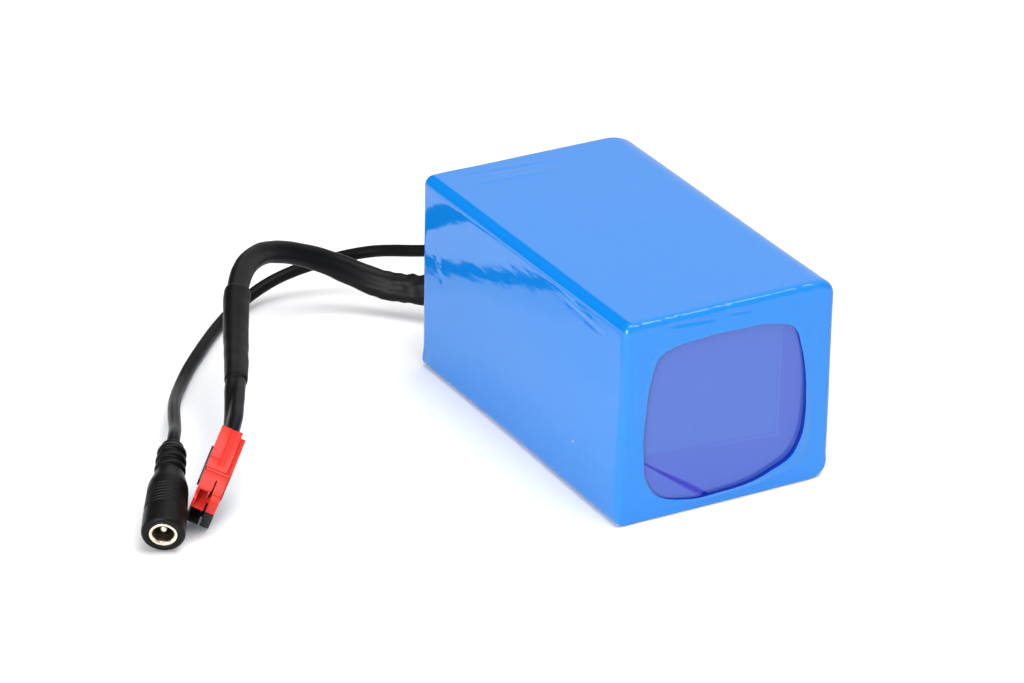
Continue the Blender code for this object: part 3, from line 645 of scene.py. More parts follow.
@dataclass
class Block:
    """The block's outline, shared by both films.

    Attributes:
        width: its size along X.
        length: its size along Y.
        height: its size along Z.
        corner_radii: the rounding of its long edges, from the upper right one anticlockwise as seen
            from the front: upper right, upper left, lower left, lower right.
        end_radius: the rounding of the edges round its two ends.
        side_points: how many points a flat side of the outline has.
        corner_points: how many points a rounded corner has.
    """

    width: float = 69.8 * MM
    length: float = 121.0 * MM
    height: float = 64.0 * MM
    corner_radii: tuple[float, float, float, float] = (5.2 * MM, 3.2 * MM, 2.9 * MM, 6.0 * MM)
    end_radius: float = 2.4 * MM
    side_points: int = 84
    corner_points: int = 11

    def outline(self, margin: float) -> tuple[Array, Array]:
        """The rounded rectangle, margin inside the block, and its outward directions, both in X and Z.

        Each corner is an arc, centre + r (cos a, sin a), and evenly spaced points join the arcs.

        Args:
            margin: how far inside the block's surface.

        Returns:
            Points and unit directions, each as rows of x and z.
        """
        half = np.array([self.width / 2 - margin, (self.height - 2 * margin) / 2])
        middle = np.array([0.0, self.height / 2])
        arcs = []
        for number, radius in enumerate(self.corner_radii):
            r = max(radius - margin, 0.3 * MM)
            signs = np.array([(1, 1), (-1, 1), (-1, -1), (1, -1)][number])
            turn = pi / 2 * number + np.linspace(0.0, pi / 2, self.corner_points)
            ways = np.column_stack([np.cos(turn), np.sin(turn)])
            arcs.append((middle + signs * (half - r) + r * ways, ways))
        points, ways = [], []
        t = np.linspace(0.0, 1.0, self.side_points + 2)[1:-1, None]
        for number, (arc, arc_ways) in enumerate(arcs):
            following = arcs[(number + 1) % 4][0][0]
            points += [arc, arc[-1] + t * (following - arc[-1])]
            ways += [arc_ways, np.repeat(arc_ways[-1:], self.side_points, axis=0)]
        return np.vstack(points), np.vstack(ways)

    def end_radii(self, points: Array, end: int, margin: float) -> Array:
        """The rounding of an end's edge at each point of the outline.

        It is smaller under the block, where the edge is pressed flat, and larger at the rear right.

        Args:
            points: the outline in X and Z.
            end: -1 at the front and 1 at the rear.
            margin: how far inside the block's surface.

        Returns:
            One radius for each point.
        """
        under = smoothstep(8 * MM, 1 * MM, points[:, 1])
        right = smoothstep(28 * MM, 34 * MM, points[:, 0]) * (end > 0)
        return self.end_radius * (1.0 - 0.55 * under + 1.1 * right * (1.0 - under)) - 0.7 * margin

    def swell(self, points: Array) -> Array:
        """How far the sides stand out past their flats.

        The right side stands out 1.1 mm, and up to 0.9 mm more towards its upper rear. The left
        side stands out up to 1.3 mm towards its lower front.

        Args:
            points: positions on a film.

        Returns:
            The distance along X for each point.
        """
        right = smoothstep(27 * MM, 34 * MM, points[..., 0])
        rear = smoothstep(-50 * MM, 60 * MM, points[..., 1])
        top = smoothstep(10 * MM, 60 * MM, points[..., 2])
        left = smoothstep(-27 * MM, -34 * MM, points[..., 0])
        low = smoothstep(55 * MM, 8 * MM, points[..., 2])
        near = smoothstep(30 * MM, -55 * MM, points[..., 1])
        return (right * (1.1 + 0.9 * rear * top) - 1.3 * left * low * near) * MM

    def skin(self, margin: float, ends: Array, front: int, rear: int, side: int) -> tuple[Array, Array, Array]:
        """The film's surface from the front opening over the block to the rear opening.

        A row is a ring round the block. From the opening's outline the surface runs flat to the end
        edge, round a quarter circle, along the side, and the same way back at the other end.

        Args:
            margin: how far inside the block's surface.
            ends: the opening's outline in X and Z, one point for each point of the block's outline.
            front: how many rows the front face has.
            rear: how many rows the rear face has.
            side: how many steps the side has.

        Returns:
            Points and unit normals, as rows by columns by three, and each row's share of the way
            from the opening to the end edge (1 from the edge on).
        """
        points, ways = self.outline(margin)
        half = self.length / 2 - margin
        faces = {}
        for end, count in ((-1, front), (1, rear)):
            radius = self.end_radii(points, end, margin)[:, None]
            flat = np.linspace(0.0, 1.0, count) ** 0.8
            turn = np.linspace(0.0, pi / 2, 10)[1:]
            rim = points - radius * ways
            plane = np.concatenate(
                [
                    ends[None] + flat[:, None, None] * (rim - ends)[None],
                    rim[None] + radius * np.sin(turn)[:, None, None] * ways[None],
                ]
            )
            fall = np.concatenate([np.zeros(count), 1 - np.cos(turn)])[:, None]
            out = np.concatenate([np.zeros(count), np.sin(turn)])
            y = end * (half - fall * radius.T)
            share = np.concatenate([flat, np.ones(len(turn))])
            faces[end] = (plane, y, out, share)
        front_part, rear_part = faces[-1], [part[::-1] for part in faces[1]]
        t = np.linspace(0.0, 1.0, side + 1)[1:-1, None]
        side_y = front_part[1][-1] + t * (rear_part[1][0] - front_part[1][-1])
        plane = np.concatenate([front_part[0], np.repeat(points[None], side - 1, axis=0), rear_part[0]])
        y = np.concatenate([front_part[1], side_y, rear_part[1]])
        out = np.concatenate([front_part[2], np.ones(side - 1), rear_part[2]])
        lengthwise = np.sqrt(np.clip(1.0 - out**2, 0.0, 1.0)) * np.sign(y.mean(axis=1))
        share = np.concatenate([front_part[3], np.ones(side - 1), rear_part[3]])
        grid = np.stack([plane[..., 0], y, plane[..., 1]], axis=-1)
        grid[..., 0] += self.swell(grid)
        normals = np.stack(
            [
                out[:, None] * ways[None, :, 0],
                np.repeat(lengthwise[:, None], len(points), axis=1),
                out[:, None] * ways[None, :, 1],
            ],
            axis=-1,
        )
        return grid, normals, share


@dataclass
class Opening:
    """The shrunk opening in the outer film's end, a rounded square with bowed sides.

    Attributes:
        middle: the point in X and Z that the outline goes round.
        corners: points of the outline in X and Z, anticlockwise as seen from the front.
    """

    middle: tuple[float, float] = (-0.6 * MM, 29.5 * MM)
    corners: list[tuple[float, float]] = field(
        default_factory=lambda: [
            (26.6, 29.8), (26.1, 37.5), (24.6, 45.2), (21.9, 51.6), (14.5, 54.3), (3.3, 55.1),
            (-9.6, 55.0), (-18.8, 54.1), (-23.4, 51.6), (-26.2, 44.1), (-27.4, 34.0), (-27.7, 22.0),
            (-26.9, 14.0), (-22.6, 7.6), (-13.0, 4.3), (-0.8, 4.1), (14.4, 6.7), (22.0, 10.3),
            (25.6, 16.6), (26.5, 22.6),
        ]
    )

    def outline(self, towards: Array) -> Array:
        """The outline's points in the directions of others, from a periodic cubic in polar form.

        The distance from the middle is a Catmull-Rom curve of the angle through the corners.

        Args:
            towards: points in X and Z outside the opening.

        Returns:
            One outline point for each of them.
        """
        middle = np.array(self.middle)
        arms = np.array(self.corners) * MM - middle
        angles = np.unwrap(np.arctan2(arms[:, 1], arms[:, 0]))
        reach = np.linalg.norm(arms, axis=1)
        a = np.concatenate([angles[-2:] - 2 * pi, angles, angles[:2] + 2 * pi])
        r = np.concatenate([reach[-2:], reach, reach[:2]])
        wanted = np.arctan2(*(towards - middle).T[::-1])
        wanted = np.where(wanted < a[1], wanted + 2 * pi, wanted)
        wanted = np.where(wanted >= a[-2], wanted - 2 * pi, wanted)
        k = np.clip(np.searchsorted(a, wanted, side="right") - 1, 1, len(a) - 3)
        span = a[k + 1] - a[k]
        t = (wanted - a[k]) / span
        slope = (r[k + 1] - r[k - 1]) / (a[k + 1] - a[k - 1]) * span
        next_slope = (r[k + 2] - r[k]) / (a[k + 2] - a[k]) * span
        distance = (
            (2 * t**3 - 3 * t**2 + 1) * r[k]
            + (t**3 - 2 * t**2 + t) * slope
            + (3 * t**2 - 2 * t**3) * r[k + 1]
            + (t**3 - t**2) * next_slope
        )
        return middle + distance[:, None] * np.column_stack([np.cos(wanted), np.sin(wanted)])


@dataclass
class OuterFilm:
    """The outer shrink film: a sleeve round the block, drawn in over both ends to an opening.

    Attributes:
        block: the block it covers.
        opening: its opening, the same at both ends.
        thickness: how thick it is drawn.
        lip_depth: how far its edge turns in towards the inner film.
        creases: the furrows and ridges in it.
        crumples: the middle, reach and height of each small crumpled spot.
    """

    block: Block
    opening: Opening
    thickness: float = 0.62 * MM
    lip_depth: float = 0.95 * MM
    creases: list[Crease] = field(default_factory=list)
    crumples: list[tuple[Point, float, float]] = field(default_factory=list)

    def crumpled(self, points: Array) -> Array:
        """Small crumples: fine waves that fade as exp(-(d/r)^2) away from each crumple's middle."""
        total = np.zeros(points.shape[:-1])
        for number, (middle, reach, height) in enumerate(self.crumples):
            away = (points - np.array(middle)) / (reach * np.array([1.0, 0.35, 0.35]))
            near = np.exp(-(away**2).sum(axis=-1))
            stretched = points * np.array([0.45, 1.0, 1.0])
            total += height * near * waviness(stretched, 1.6 * MM, 50 + number, 8)
        return total

    def relief(self, points: Array, share: Array, front: Array) -> Array:
        """How far the film stands out: broad waves, a lifted edge round the opening, and the creases.

        Args:
            points: positions on the smooth surface.
            share: the share of the way from the opening to the end edge.
            front: 1 on the front half and 0 on the rear half.

        Returns:
            One number for each point.
        """
        waves = 0.05 * MM * (waviness(points, 38 * MM, 4) - 1.0) + 0.012 * MM * waviness(points, 11 * MM, 9)
        across = points[..., 0] / self.block.width
        down = 0.5 - points[..., 2] / self.block.height
        lift = 0.15 + 2.2 * np.clip(0.7 * across + 0.8 * down - 0.1, 0.0, 1.0)
        near = np.exp(-((share / 0.30) ** 2)) * (share < 1.0)
        lifted = lift * MM * near * (0.4 + 0.6 * front)
        creased = sum(crease.lift(points) for crease in self.creases)
        return waves + lifted + creased + self.crumpled(points)

    def build(self) -> bpy.types.Object:
        """The film as a closed shell: its outside, a turned-in lip, its inside and the other lip."""
        rim = self.opening.outline(self.block.outline(0.0)[0])
        outside, normals, share = self.block.skin(0.0, rim, 40, 26, 104)
        columns = outside.shape[1]
        wide_share = np.repeat(share[:, None], columns, axis=1)
        front = (outside[..., 1] < 0).astype(float)
        height = self.relief(outside, wide_share, front)
        outside = outside + height[..., None] * normals
        rim_inside = self.opening.outline(self.block.outline(self.thickness)[0])
        inside, _, _ = self.block.skin(self.thickness, rim_inside, 4, 4, 6)
        end_y = self.block.length / 2 - self.lip_depth
        depths = np.array([0.06, 0.4, 0.7, 1.0])[:, None, None]
        front_foot, rear_foot = outside[0].copy(), outside[-1].copy()
        front_foot[:, 1], rear_foot[:, 1] = -end_y, end_y
        front_lip = outside[0] + depths * (front_foot - outside[0])
        rear_lip = outside[-1] + depths * (rear_foot - outside[-1])
        inside[0, :, 1], inside[-1, :, 1] = -end_y, end_y
        grid = np.concatenate([front_lip[::-1], outside, rear_lip, inside[1:-1][::-1]])
        lips = len(front_lip)
        # The lips and the inside are coloured darker: the cut edge, with painted shade of the gap under the lifted rim.
        edge = np.zeros(grid.shape[:2])
        edge[:lips] = edge[lips + len(outside) :] = 1.0
        piece = closed_piece("outer_film", grid, wrap_rows=True, masks={"edge": edge})
        return dress(piece, Finishes.OUTER_FILM, ("outer_sleeve",))


@dataclass
class InnerFilm:
    """The inner shrink film, closed all round, seen through the outer film's openings.

    Attributes:
        block: the block it covers.
        margin: how far inside the block's surface it lies.
        board_right: the right edge of the sheet that shows through its front.
        board_bottom: the lower edge of that sheet.
        fold_start: one end of the fold across the front's lower left corner, in X and Z.
        fold_end: the other end.
    """

    block: Block
    margin: float = 0.85 * MM
    board_right: float = 18.0 * MM
    board_bottom: float = 17.6 * MM
    fold_start: tuple[float, float] = (-25.9 * MM, 17.7 * MM)
    fold_end: tuple[float, float] = (-8.3 * MM, 4.7 * MM)

    def front_relief(self, x: Array, z: Array) -> tuple[Array, Array, Array]:
        """How far the front stands out, how much painted shade lies at its fold, and how pale the sheet behind and
        painted highlights on its ridges make it.

        The sheet behind it shows as two thin ridges at its right and lower edges with a faint
        plateau inside them. The fold is a step along a line, with painted shade along its foot.

        Args:
            x: positions across.
            z: positions up.

        Returns:
            The height, the painted shade along the fold's foot, and the sheet's paleness with painted highlights on its
            ridges, each from 0 to 1.
        """
        bottom = self.board_bottom - 0.07 * (x - self.board_right)
        ridge = 0.3 * MM
        on_side = np.exp(-(((x - self.board_right) / ridge) ** 2)) * smoothstep(-1.0 * MM, 1.5 * MM, z - bottom)
        under = np.exp(-(((z - bottom) / ridge) ** 2)) * smoothstep(1.5 * MM, -1.0 * MM, x - self.board_right)
        under = under * smoothstep(-14 * MM, 4 * MM, x)
        sheet = smoothstep(0.0, -1.5 * MM, x - self.board_right) * smoothstep(0.0, 1.5 * MM, z - bottom)
        start, end = np.array(self.fold_start), np.array(self.fold_end)
        way = (end - start) / np.linalg.norm(end - start)
        below = (x - start[0]) * way[1] - (z - start[1]) * way[0]
        along = (x - start[0]) * way[0] + (z - start[1]) * way[1]
        step = smoothstep(-0.12 * MM, 0.12 * MM, below)
        thick = 0.6 * MM + 0.9 * MM * smoothstep(0.0, 20 * MM, along)
        # painted shade in a band along the foot of the fold's step
        dark = np.exp(-(((below + 0.3 * thick) / (0.62 * thick)) ** 6)) * smoothstep(-4 * MM, -1 * MM, along)
        height = 0.08 * MM * (on_side + 0.8 * under) + 0.04 * MM * sheet + 0.30 * MM * step
        # the pale sheet showing through, and painted highlights along its two ridges
        sheet_and_highlight = 0.25 * sheet + 0.55 * on_side + 0.35 * under
        return height, dark, sheet_and_highlight * (1.0 - dark)

    def build(self) -> bpy.types.Object:
        """The film as a closed surface, with each end gathered to a point at its middle."""
        outline, _ = self.block.outline(self.margin)
        hub = np.array([0.0, self.block.height / 2])
        ends = hub + 0.01 * (outline - hub)
        grid, normals, share = self.block.skin(self.margin, ends, 130, 14, 10)
        height, dark, sheet_and_highlight = self.front_relief(grid[..., 0], grid[..., 2])
        flat_front = ((share[:, None] < 1.0) & (grid[..., 1] < 0)).astype(float)
        waves = 0.05 * MM * waviness(grid, 30 * MM, 21) + 0.010 * MM * waviness(grid, 8 * MM, 22)
        grid = grid + ((height * flat_front + waves)[..., None]) * normals
        # edge carries the painted fold shade; the second mask the pale sheet and painted ridge highlights
        masks = {"edge": dark * flat_front, "sheet_and_highlight": sheet_and_highlight * flat_front}
        piece = closed_piece("inner_film", grid, masks=masks)
        return dress(piece, Finishes.INNER_FILM, ("inner_wrap",))


def film_creases() -> list[Crease]:
    """The outer film's creases, face by face."""
    mm = [
        # furrows along the front's upper edge
        ((-22.5, -60.5, 61.2), (-2.5, -60.5, 60.0), 0.65, -0.26, False),
        ((-19.0, -60.5, 59.6), (-4.0, -60.5, 58.9), 0.60, 0.14, False),
        ((-1.2, -60.5, 60.6), (8.6, -60.5, 60.1), 0.60, -0.26, False),
        ((9.0, -60.5, 61.0), (27.0, -60.5, 60.8), 0.8, -0.10, False),
        # the pucker at the opening's upper left
        ((-26.0, -60.5, 53.6), (-22.6, -60.5, 50.9), 0.45, 0.28, False),
        ((-27.5, -60.5, 51.6), (-23.4, -60.5, 50.0), 0.50, -0.12, False),
        ((-17.8, -60.5, 54.4), (-13.6, -60.5, 55.2), 0.35, 0.16, False),
        # the drawn film beside the opening
        ((-30.1, -60.5, 57.0), (-30.0, -60.5, 16.0), 1.1, 0.20, False),
        ((31.0, -60.5, 54.0), (31.0, -60.5, 14.0), 1.2, 0.15, False),
        # long creases across the top near the lead end
        ((-24.0, 55.0, 64.0), (6.0, 51.4, 64.0), 0.55, 0.22, False),
        ((-22.0, 53.6, 64.0), (5.0, 50.2, 64.0), 0.70, -0.20, False),
        ((-24.0, 47.4, 64.0), (6.0, 45.2, 64.0), 0.70, 0.16, False),
        ((-32.0, 59.4, 64.0), (-8.0, 56.6, 64.0), 0.70, 0.14, False),
        ((-27.5, -46.8, 64.0), (-15.0, -45.4, 64.0), 0.60, 0.07, False),
        ((-20.0, -53.8, 64.0), (4.0, -55.0, 64.0), 0.90, 0.06, False),
        # the left side
        ((-34.9, 51.6, 41.8), (-34.9, 48.6, 36.2), 0.45, 0.22, False),
        ((-34.9, 49.0, 36.6), (-34.9, 47.0, 31.6), 0.45, -0.20, False),
        ((-34.9, -26.0, 58.0), (-34.9, -48.0, 56.4), 0.45, -0.16, False),
        ((-34.9, -24.0, 59.6), (-34.9, -46.0, 58.0), 0.55, 0.12, False),
        ((-34.9, 56.0, 8.0), (-34.9, 59.0, 1.5), 0.9, -0.35, False),
        # the right side and the lead end
        ((34.9, 50.0, 52.0), (34.9, 40.0, 49.0), 0.6, 0.14, False),
        ((34.9, -52.0, 12.0), (34.9, -40.0, 15.0), 0.6, -0.12, False),
        ((-20.0, 60.5, 60.8), (4.0, 60.5, 60.2), 0.7, -0.24, False),
        ((24.0, 60.5, 54.6), (27.6, 60.5, 57.4), 0.5, 0.24, False),
        ((-30.6, 60.5, 18.0), (-30.8, 60.5, 50.0), 1.2, 0.12, False),
    ]
    return [
        Crease(
            tuple(v * MM for v in start), tuple(v * MM for v in end), width * MM, height * MM, twin
        )
        for start, end, width, height, twin in mm
    ]


def film_crumples() -> list[tuple[Point, float, float]]:
    """Where the outer film is crumpled: along its front upper edge, at its corners and at the opening."""
    mm = [
        ((-31.5, -60.0, 63.4), 3.6, 0.30),
        ((-20.0, -60.2, 62.8), 4.0, 0.20),
        ((-2.0, -60.3, 62.4), 6.0, 0.12),
        ((26.0, -60.0, 63.2), 5.0, 0.22),
        ((-24.4, -60.5, 52.8), 2.6, 0.26),
        ((-16.0, -60.5, 55.2), 3.4, 0.10),
        ((-33.6, 50.0, 37.0), 3.0, 0.10),
        ((-28.0, -60.0, 1.4), 4.0, 0.10),
        ((24.0, 60.2, 62.6), 5.0, 0.10),
        ((-30.0, 60.2, 61.0), 4.0, 0.12),
    ]
    return [(tuple(v * MM for v in middle), reach * MM, height * MM) for middle, reach, height in mm]


# ---------------------------------------------------------------- leads


def lead_frames(line: Array, first_way: Array, last_way: Array) -> tuple[Array, Array, Array]:
    """The way along a line, level across it and upwards from it, at each point.

    The level direction is way x up, which exists because no lead runs straight up.

    Args:
        line: the points.
        first_way: the direction at the first.
        last_way: the direction at the last.

    Returns:
        Three arrays of unit vectors.
    """
    way = np.gradient(line, axis=0)
    way[0], way[-1] = first_way, last_way
    way = unit(way)
    level = unit(np.cross(way, (0.0, 0.0, 1.0)))
    return way, level, np.cross(level, way)


def swept(line: Array, across: Array, through: Array, outline: Array) -> Array:
    """Rings along a line: c + a X + b Z, from each ring's own outline X, Z in the directions a, b.

    Args:
        line: each ring's centre.
        across: each ring's first direction.
        through: each ring's second direction.
        outline: rows by points by two.

    Returns:
        Rows by points by three.
    """
    return line[:, None] + outline[..., :1] * across[:, None] + outline[..., 1:] * through[:, None]


def flow_mask(along: Array, outline: Array) -> Array:
    """Straightened coordinates for patterns on a lead: the distance along it and the place on its outline."""
    run = np.repeat(along[:, None, None], outline.shape[1], axis=1)
    return np.concatenate([run, outline], axis=-1)


def local_frame(place: Point, yaw: float, pitch: float, roll: float = 0.0) -> Matrix:
    """A connector's frame: +Y points back along it to its lead and +Z is its upper side."""
    turn = Matrix.Rotation(radians(yaw), 4, "Z") @ Matrix.Rotation(radians(pitch), 4, "X")
    return Matrix.Translation(Vector(place)) @ turn @ Matrix.Rotation(radians(roll), 4, "Y")


def in_frame(matrix: Matrix, points: Array) -> Array:
    """Points of a local frame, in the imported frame."""
    m = np.array(matrix)
    return points @ m[:3, :3].T + m[:3, 3]


@dataclass
class ChargeLead:
    """The round charging lead, from the block's lead end to its moulded socket.

    Attributes:
        socket: the socket's frame.
        radius: the cable's radius.
        socket_length: the distance from the socket's face to its cable end.
        overlap: how far the cable reaches into the socket.
        inside_y: where the cable starts, inside the films.
        route: the points that it passes through, in millimetres.
    """

    socket: Matrix
    radius: float = 1.9 * MM
    socket_length: float = 38.0 * MM
    overlap: float = 1.0 * MM
    inside_y: float = 58.6 * MM
    route: list[Point] = field(
        default_factory=lambda: [
            (4.0, 60.5, 30.0), (2.4, 70.8, 28.6), (-3.2, 82.4, 24.7), (-9.9, 91.5, 21.0),
            (-17.0, 101.6, 18.0), (-24.3, 111.6, 15.3), (-34.6, 117.7, 12.6), (-45.1, 121.3, 9.8),
            (-55.3, 121.8, 7.2), (-63.9, 119.9, 4.8), (-71.8, 116.3, 2.9), (-79.6, 110.2, 2.0),
            (-87.3, 102.4, 2.0), (-94.2, 94.9, 2.0), (-100.5, 87.8, 2.0), (-106.3, 80.4, 2.1),
            (-113.6, 69.2, 4.0), (-122.9, 51.6, 8.5), (-132.1, 31.7, 13.2),
        ]
    )

    def centre_line(self) -> Array:
        """The cable's centre line, evenly spaced, from inside the films into the socket."""
        back = np.array(self.socket.to_3x3() @ Vector((0, 1, 0)))
        end = in_frame(self.socket, np.array([0.0, self.socket_length - self.overlap, 0.0]))
        points = np.vstack([np.array(self.route) * MM, end])
        line = smooth_line(points, np.array([0.0, 1.0, 0.0]), -back, 1.0 * MM)
        start = line[0] + np.array([0.0, self.inside_y - line[0, 1], 0.0])
        return np.vstack([start, line])

    def build(self) -> bpy.types.Object:
        """The cable as rings r (cos a, sin a) along its line, a little uneven as soft jackets are."""
        line = self.centre_line()
        back = np.array(self.socket.to_3x3() @ Vector((0, 1, 0)))
        _, level, up = lead_frames(line, np.array([0.0, 1.0, 0.0]), -back)
        turn = np.linspace(0.0, 2 * pi, 28, endpoint=False)
        circle = self.radius * np.column_stack([np.cos(turn), np.sin(turn)])
        along = distances(line)
        uneven = 1.0 + 0.012 * waviness(line, 9 * MM, 3)
        outline = uneven[:, None, None] * circle[None]
        grid = swept(line, level, up, outline)
        piece = closed_piece("charge_lead", grid, masks={"flow": flow_mask(along, outline)})
        dress(piece, Finishes.CABLE, ("charge_cable",))
        self.line = line
        return piece


@dataclass
class DischargeLead:
    """The flat discharge lead: two wires side by side in shrink sleeving, with a second sleeve over part of it.

    Attributes:
        connector: the connector's frame.
        bore_x: how far the wires enter it from its middle.
        turn_at: shares of the length at which the flat's turn about its own line is given.
        turn: that turn in degrees.
        half_width_at: shares of the length at which the half width is given.
        half_width: the half width there, in millimetres.
        flare: how much the half width grows where the wires part at the connector.
        flare_length: the length over which they part.
        half_depth: the half thickness over a wire.
        waist: how far the sleeving dips between the wires, as a share of the half thickness.
        over_start: the share of the length where the second sleeve starts.
        over_end: the share where it ends.
        over_thickness: how far it stands out at its upper and lower end.
        inside_y: where the lead starts, inside the films.
        wire_offset: how far each wire lies from the lead's middle.
        wire_radius: a wire's radius.
        route: the points that it passes through, in millimetres.
    """

    connector: Matrix
    bore_x: float = -0.65 * MM
    turn_at: tuple[float, ...] = (0.0, 0.08, 0.35, 0.43, 0.5, 0.6, 0.86, 0.97, 1.0)
    turn: tuple[float, ...] = (226.0, 245.0, 252.0, 242.0, 213.0, 186.0, 178.0, 113.0, 113.0)
    half_width_at: tuple[float, ...] = (0.0, 0.1, 0.25, 0.36, 0.5, 0.62, 0.8, 0.86, 1.0)
    half_width: tuple[float, ...] = (4.6, 4.9, 4.4, 3.6, 3.5, 3.35, 3.2, 3.1, 3.1)
    flare: float = 2.45 * MM
    flare_length: float = 15.0 * MM
    half_depth: float = 2.4 * MM
    waist: float = 0.16
    over_start: float = 0.575
    over_end: float = 0.855
    over_thickness: tuple[float, float] = (0.75 * MM, 0.35 * MM)
    inside_y: float = 58.6 * MM
    wire_offset: float = 1.5 * MM
    wire_radius: float = 1.3 * MM
    route: list[Point] = field(
        default_factory=lambda: [
            (-6.0, 60.5, 13.0), (-6.9, 67.9, 12.3), (-9.8, 75.9, 11.7), (-14.1, 83.2, 10.6),
            (-19.6, 89.7, 9.9), (-27.2, 97.0, 10.1), (-37.4, 104.4, 14.5), (-49.5, 107.6, 20.6),
            (-58.2, 106.8, 24.2), (-66.7, 103.7, 26.9), (-75.0, 97.6, 28.0), (-82.3, 88.9, 27.6),
            (-88.3, 79.0, 26.3), (-93.7, 68.7, 25.1), (-99.1, 57.8, 24.4), (-104.6, 46.5, 24.2),
            (-110.8, 34.3, 24.2), (-117.0, 22.8, 23.4),
        ]
    )

    def __post_init__(self) -> None:
        """Works out the centre line and the directions across and through the flat."""
        back = np.array(self.connector.to_3x3() @ Vector((0, 1, 0)))
        end = in_frame(self.connector, np.array([self.bore_x, 0.25 * MM, 0.0]))
        points = np.vstack([np.array(self.route) * MM, end])
        first = np.array([0.0, 1.0, 0.0])
        line = smooth_line(points, first, -back, 0.8 * MM)
        start = line[0] + np.array([0.0, self.inside_y - line[0, 1], 0.0])
        self.line = np.vstack([start, line])
        self.along = distances(self.line)
        self.share = self.along / self.along[-1]
        _, level, up = lead_frames(self.line, first, -back)
        turn = np.radians(np.interp(self.share, self.turn_at, self.turn))[:, None]
        self.wide = np.cos(turn) * level + np.sin(turn) * up
        self.deep = np.cross(unit(np.gradient(self.line, axis=0)), self.wide)

    def outline(self, share: Array, extra: Array, waist: float) -> Array:
        """Rings of the flat: X = a cos t, Z = b sin t (1 - w exp(-(X / c)^2)), with a and b growing by extra.

        Args:
            share: each ring's share of the length.
            extra: how much larger each ring is.
            waist: the dip w between the wires.

        Returns:
            Rows by points by two.
        """
        turn = np.linspace(0.0, 2 * pi, 48, endpoint=False)
        left = (1.0 - share) * self.along[-1]
        parting = self.flare * np.clip(1.0 - left / self.flare_length, 0.0, 1.0) ** 1.5
        a = (np.interp(share, self.half_width_at, self.half_width) * MM + extra + parting)[:, None]
        b = self.half_depth + extra[:, None] + 0.0 * a
        x = a * np.sign(np.cos(turn)) * np.abs(np.cos(turn)) ** 0.85
        z = b * np.sin(turn) * (1.0 - waist * np.exp(-((x / (1.3 * MM)) ** 2)))
        return np.stack([x, z], axis=-1)

    def crumple(self, share: Array, points: Array) -> Array:
        """Small cross wrinkles where the lead bends down from the block, and faint ones elsewhere."""
        near = smoothstep(0.02, 0.06, share) * smoothstep(0.26, 0.18, share)
        ripples = waviness(points, 3.2 * MM, 31, 9)
        broad = waviness(points, 7.0 * MM, 32)
        return (0.20 * near[:, None] * ripples + 0.07 * broad) * MM

    def ringed(self, name: str, pick: Array, extra: Array, waist: float, finish: Finishes) -> bpy.types.Object:
        """A sleeve over part of the lead, with its wrinkles.

        Args:
            name: the piece's name.
            pick: the numbers of the line's points that it covers.
            extra: how much larger than the lead each ring is.
            waist: the dip between the wires.
            finish: not used.

        Returns:
            The new piece, not yet dressed.
        """
        outline = self.outline(self.share[pick], extra, waist)
        rings = swept(self.line[pick], self.wide[pick], self.deep[pick], outline)
        rough = 1.0 + self.crumple(self.share[pick], rings)[..., None] / self.half_depth
        outline = outline * rough
        grid = swept(self.line[pick], self.wide[pick], self.deep[pick], outline)
        return closed_piece(name, grid, masks={"flow": flow_mask(self.along[pick], outline)})

    def build(self) -> tuple[bpy.types.Object, bpy.types.Object]:
        """The lead's sleeving along all of it, and the second sleeve over its lower half."""
        every = np.arange(len(self.line))
        lead = self.ringed("discharge_lead", every, np.zeros(len(every)), self.waist, Finishes.SLEEVE)
        dress(lead, Finishes.SLEEVE, ("discharge_sleeve",))
        pick = np.flatnonzero((self.share > self.over_start) & (self.share < self.over_end))
        t = np.linspace(0.0, 1.0, len(pick))
        thick = self.over_thickness[0] + t * (self.over_thickness[1] - self.over_thickness[0])
        lips = 1.0 - 0.75 * (np.exp(-((t / 0.012) ** 2)) + np.exp(-(((1 - t) / 0.012) ** 2)))
        over = self.ringed("overlap_sleeve", pick, thick * lips, 0.5 * self.waist, Finishes.SLEEVE_OVER)
        dress(over, Finishes.SLEEVE_OVER)
        return lead, over

    def wire(self, sign: int, name: str, finish: Finishes, node: str) -> bpy.types.Object:
        """One wire: rings r (cos a, sin a) along the line moved sideways, parting where the sleeving flares.

        Args:
            sign: which side of the flat it lies on.
            name: the piece's name.
            finish: its finish.
            node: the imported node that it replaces.

        Returns:
            The new piece.
        """
        left = (1.0 - self.share) * self.along[-1]
        parting = self.flare * np.clip(1.0 - left / self.flare_length, 0.0, 1.0) ** 1.5
        centres = self.line + sign * (self.wire_offset + parting)[:, None] * self.wide
        way = unit(np.gradient(self.line, axis=0))
        centres = np.vstack([centres, centres[-1] + 3.0 * MM * way[-1]])
        wide, deep = np.vstack([self.wide, self.wide[-1:]]), np.vstack([self.deep, self.deep[-1:]])
        turn = np.linspace(0.0, 2 * pi, 20, endpoint=False)
        circle = self.wire_radius * np.column_stack([np.cos(turn), np.sin(turn)])
        outline = np.repeat(circle[None], len(centres), axis=0)
        grid = swept(centres, wide, deep, outline)
        piece = closed_piece(name, grid, masks={"flow": flow_mask(distances(centres), outline)})
        return dress(piece, finish, (node,))


# ---------------------------------------------------------------- the charging socket


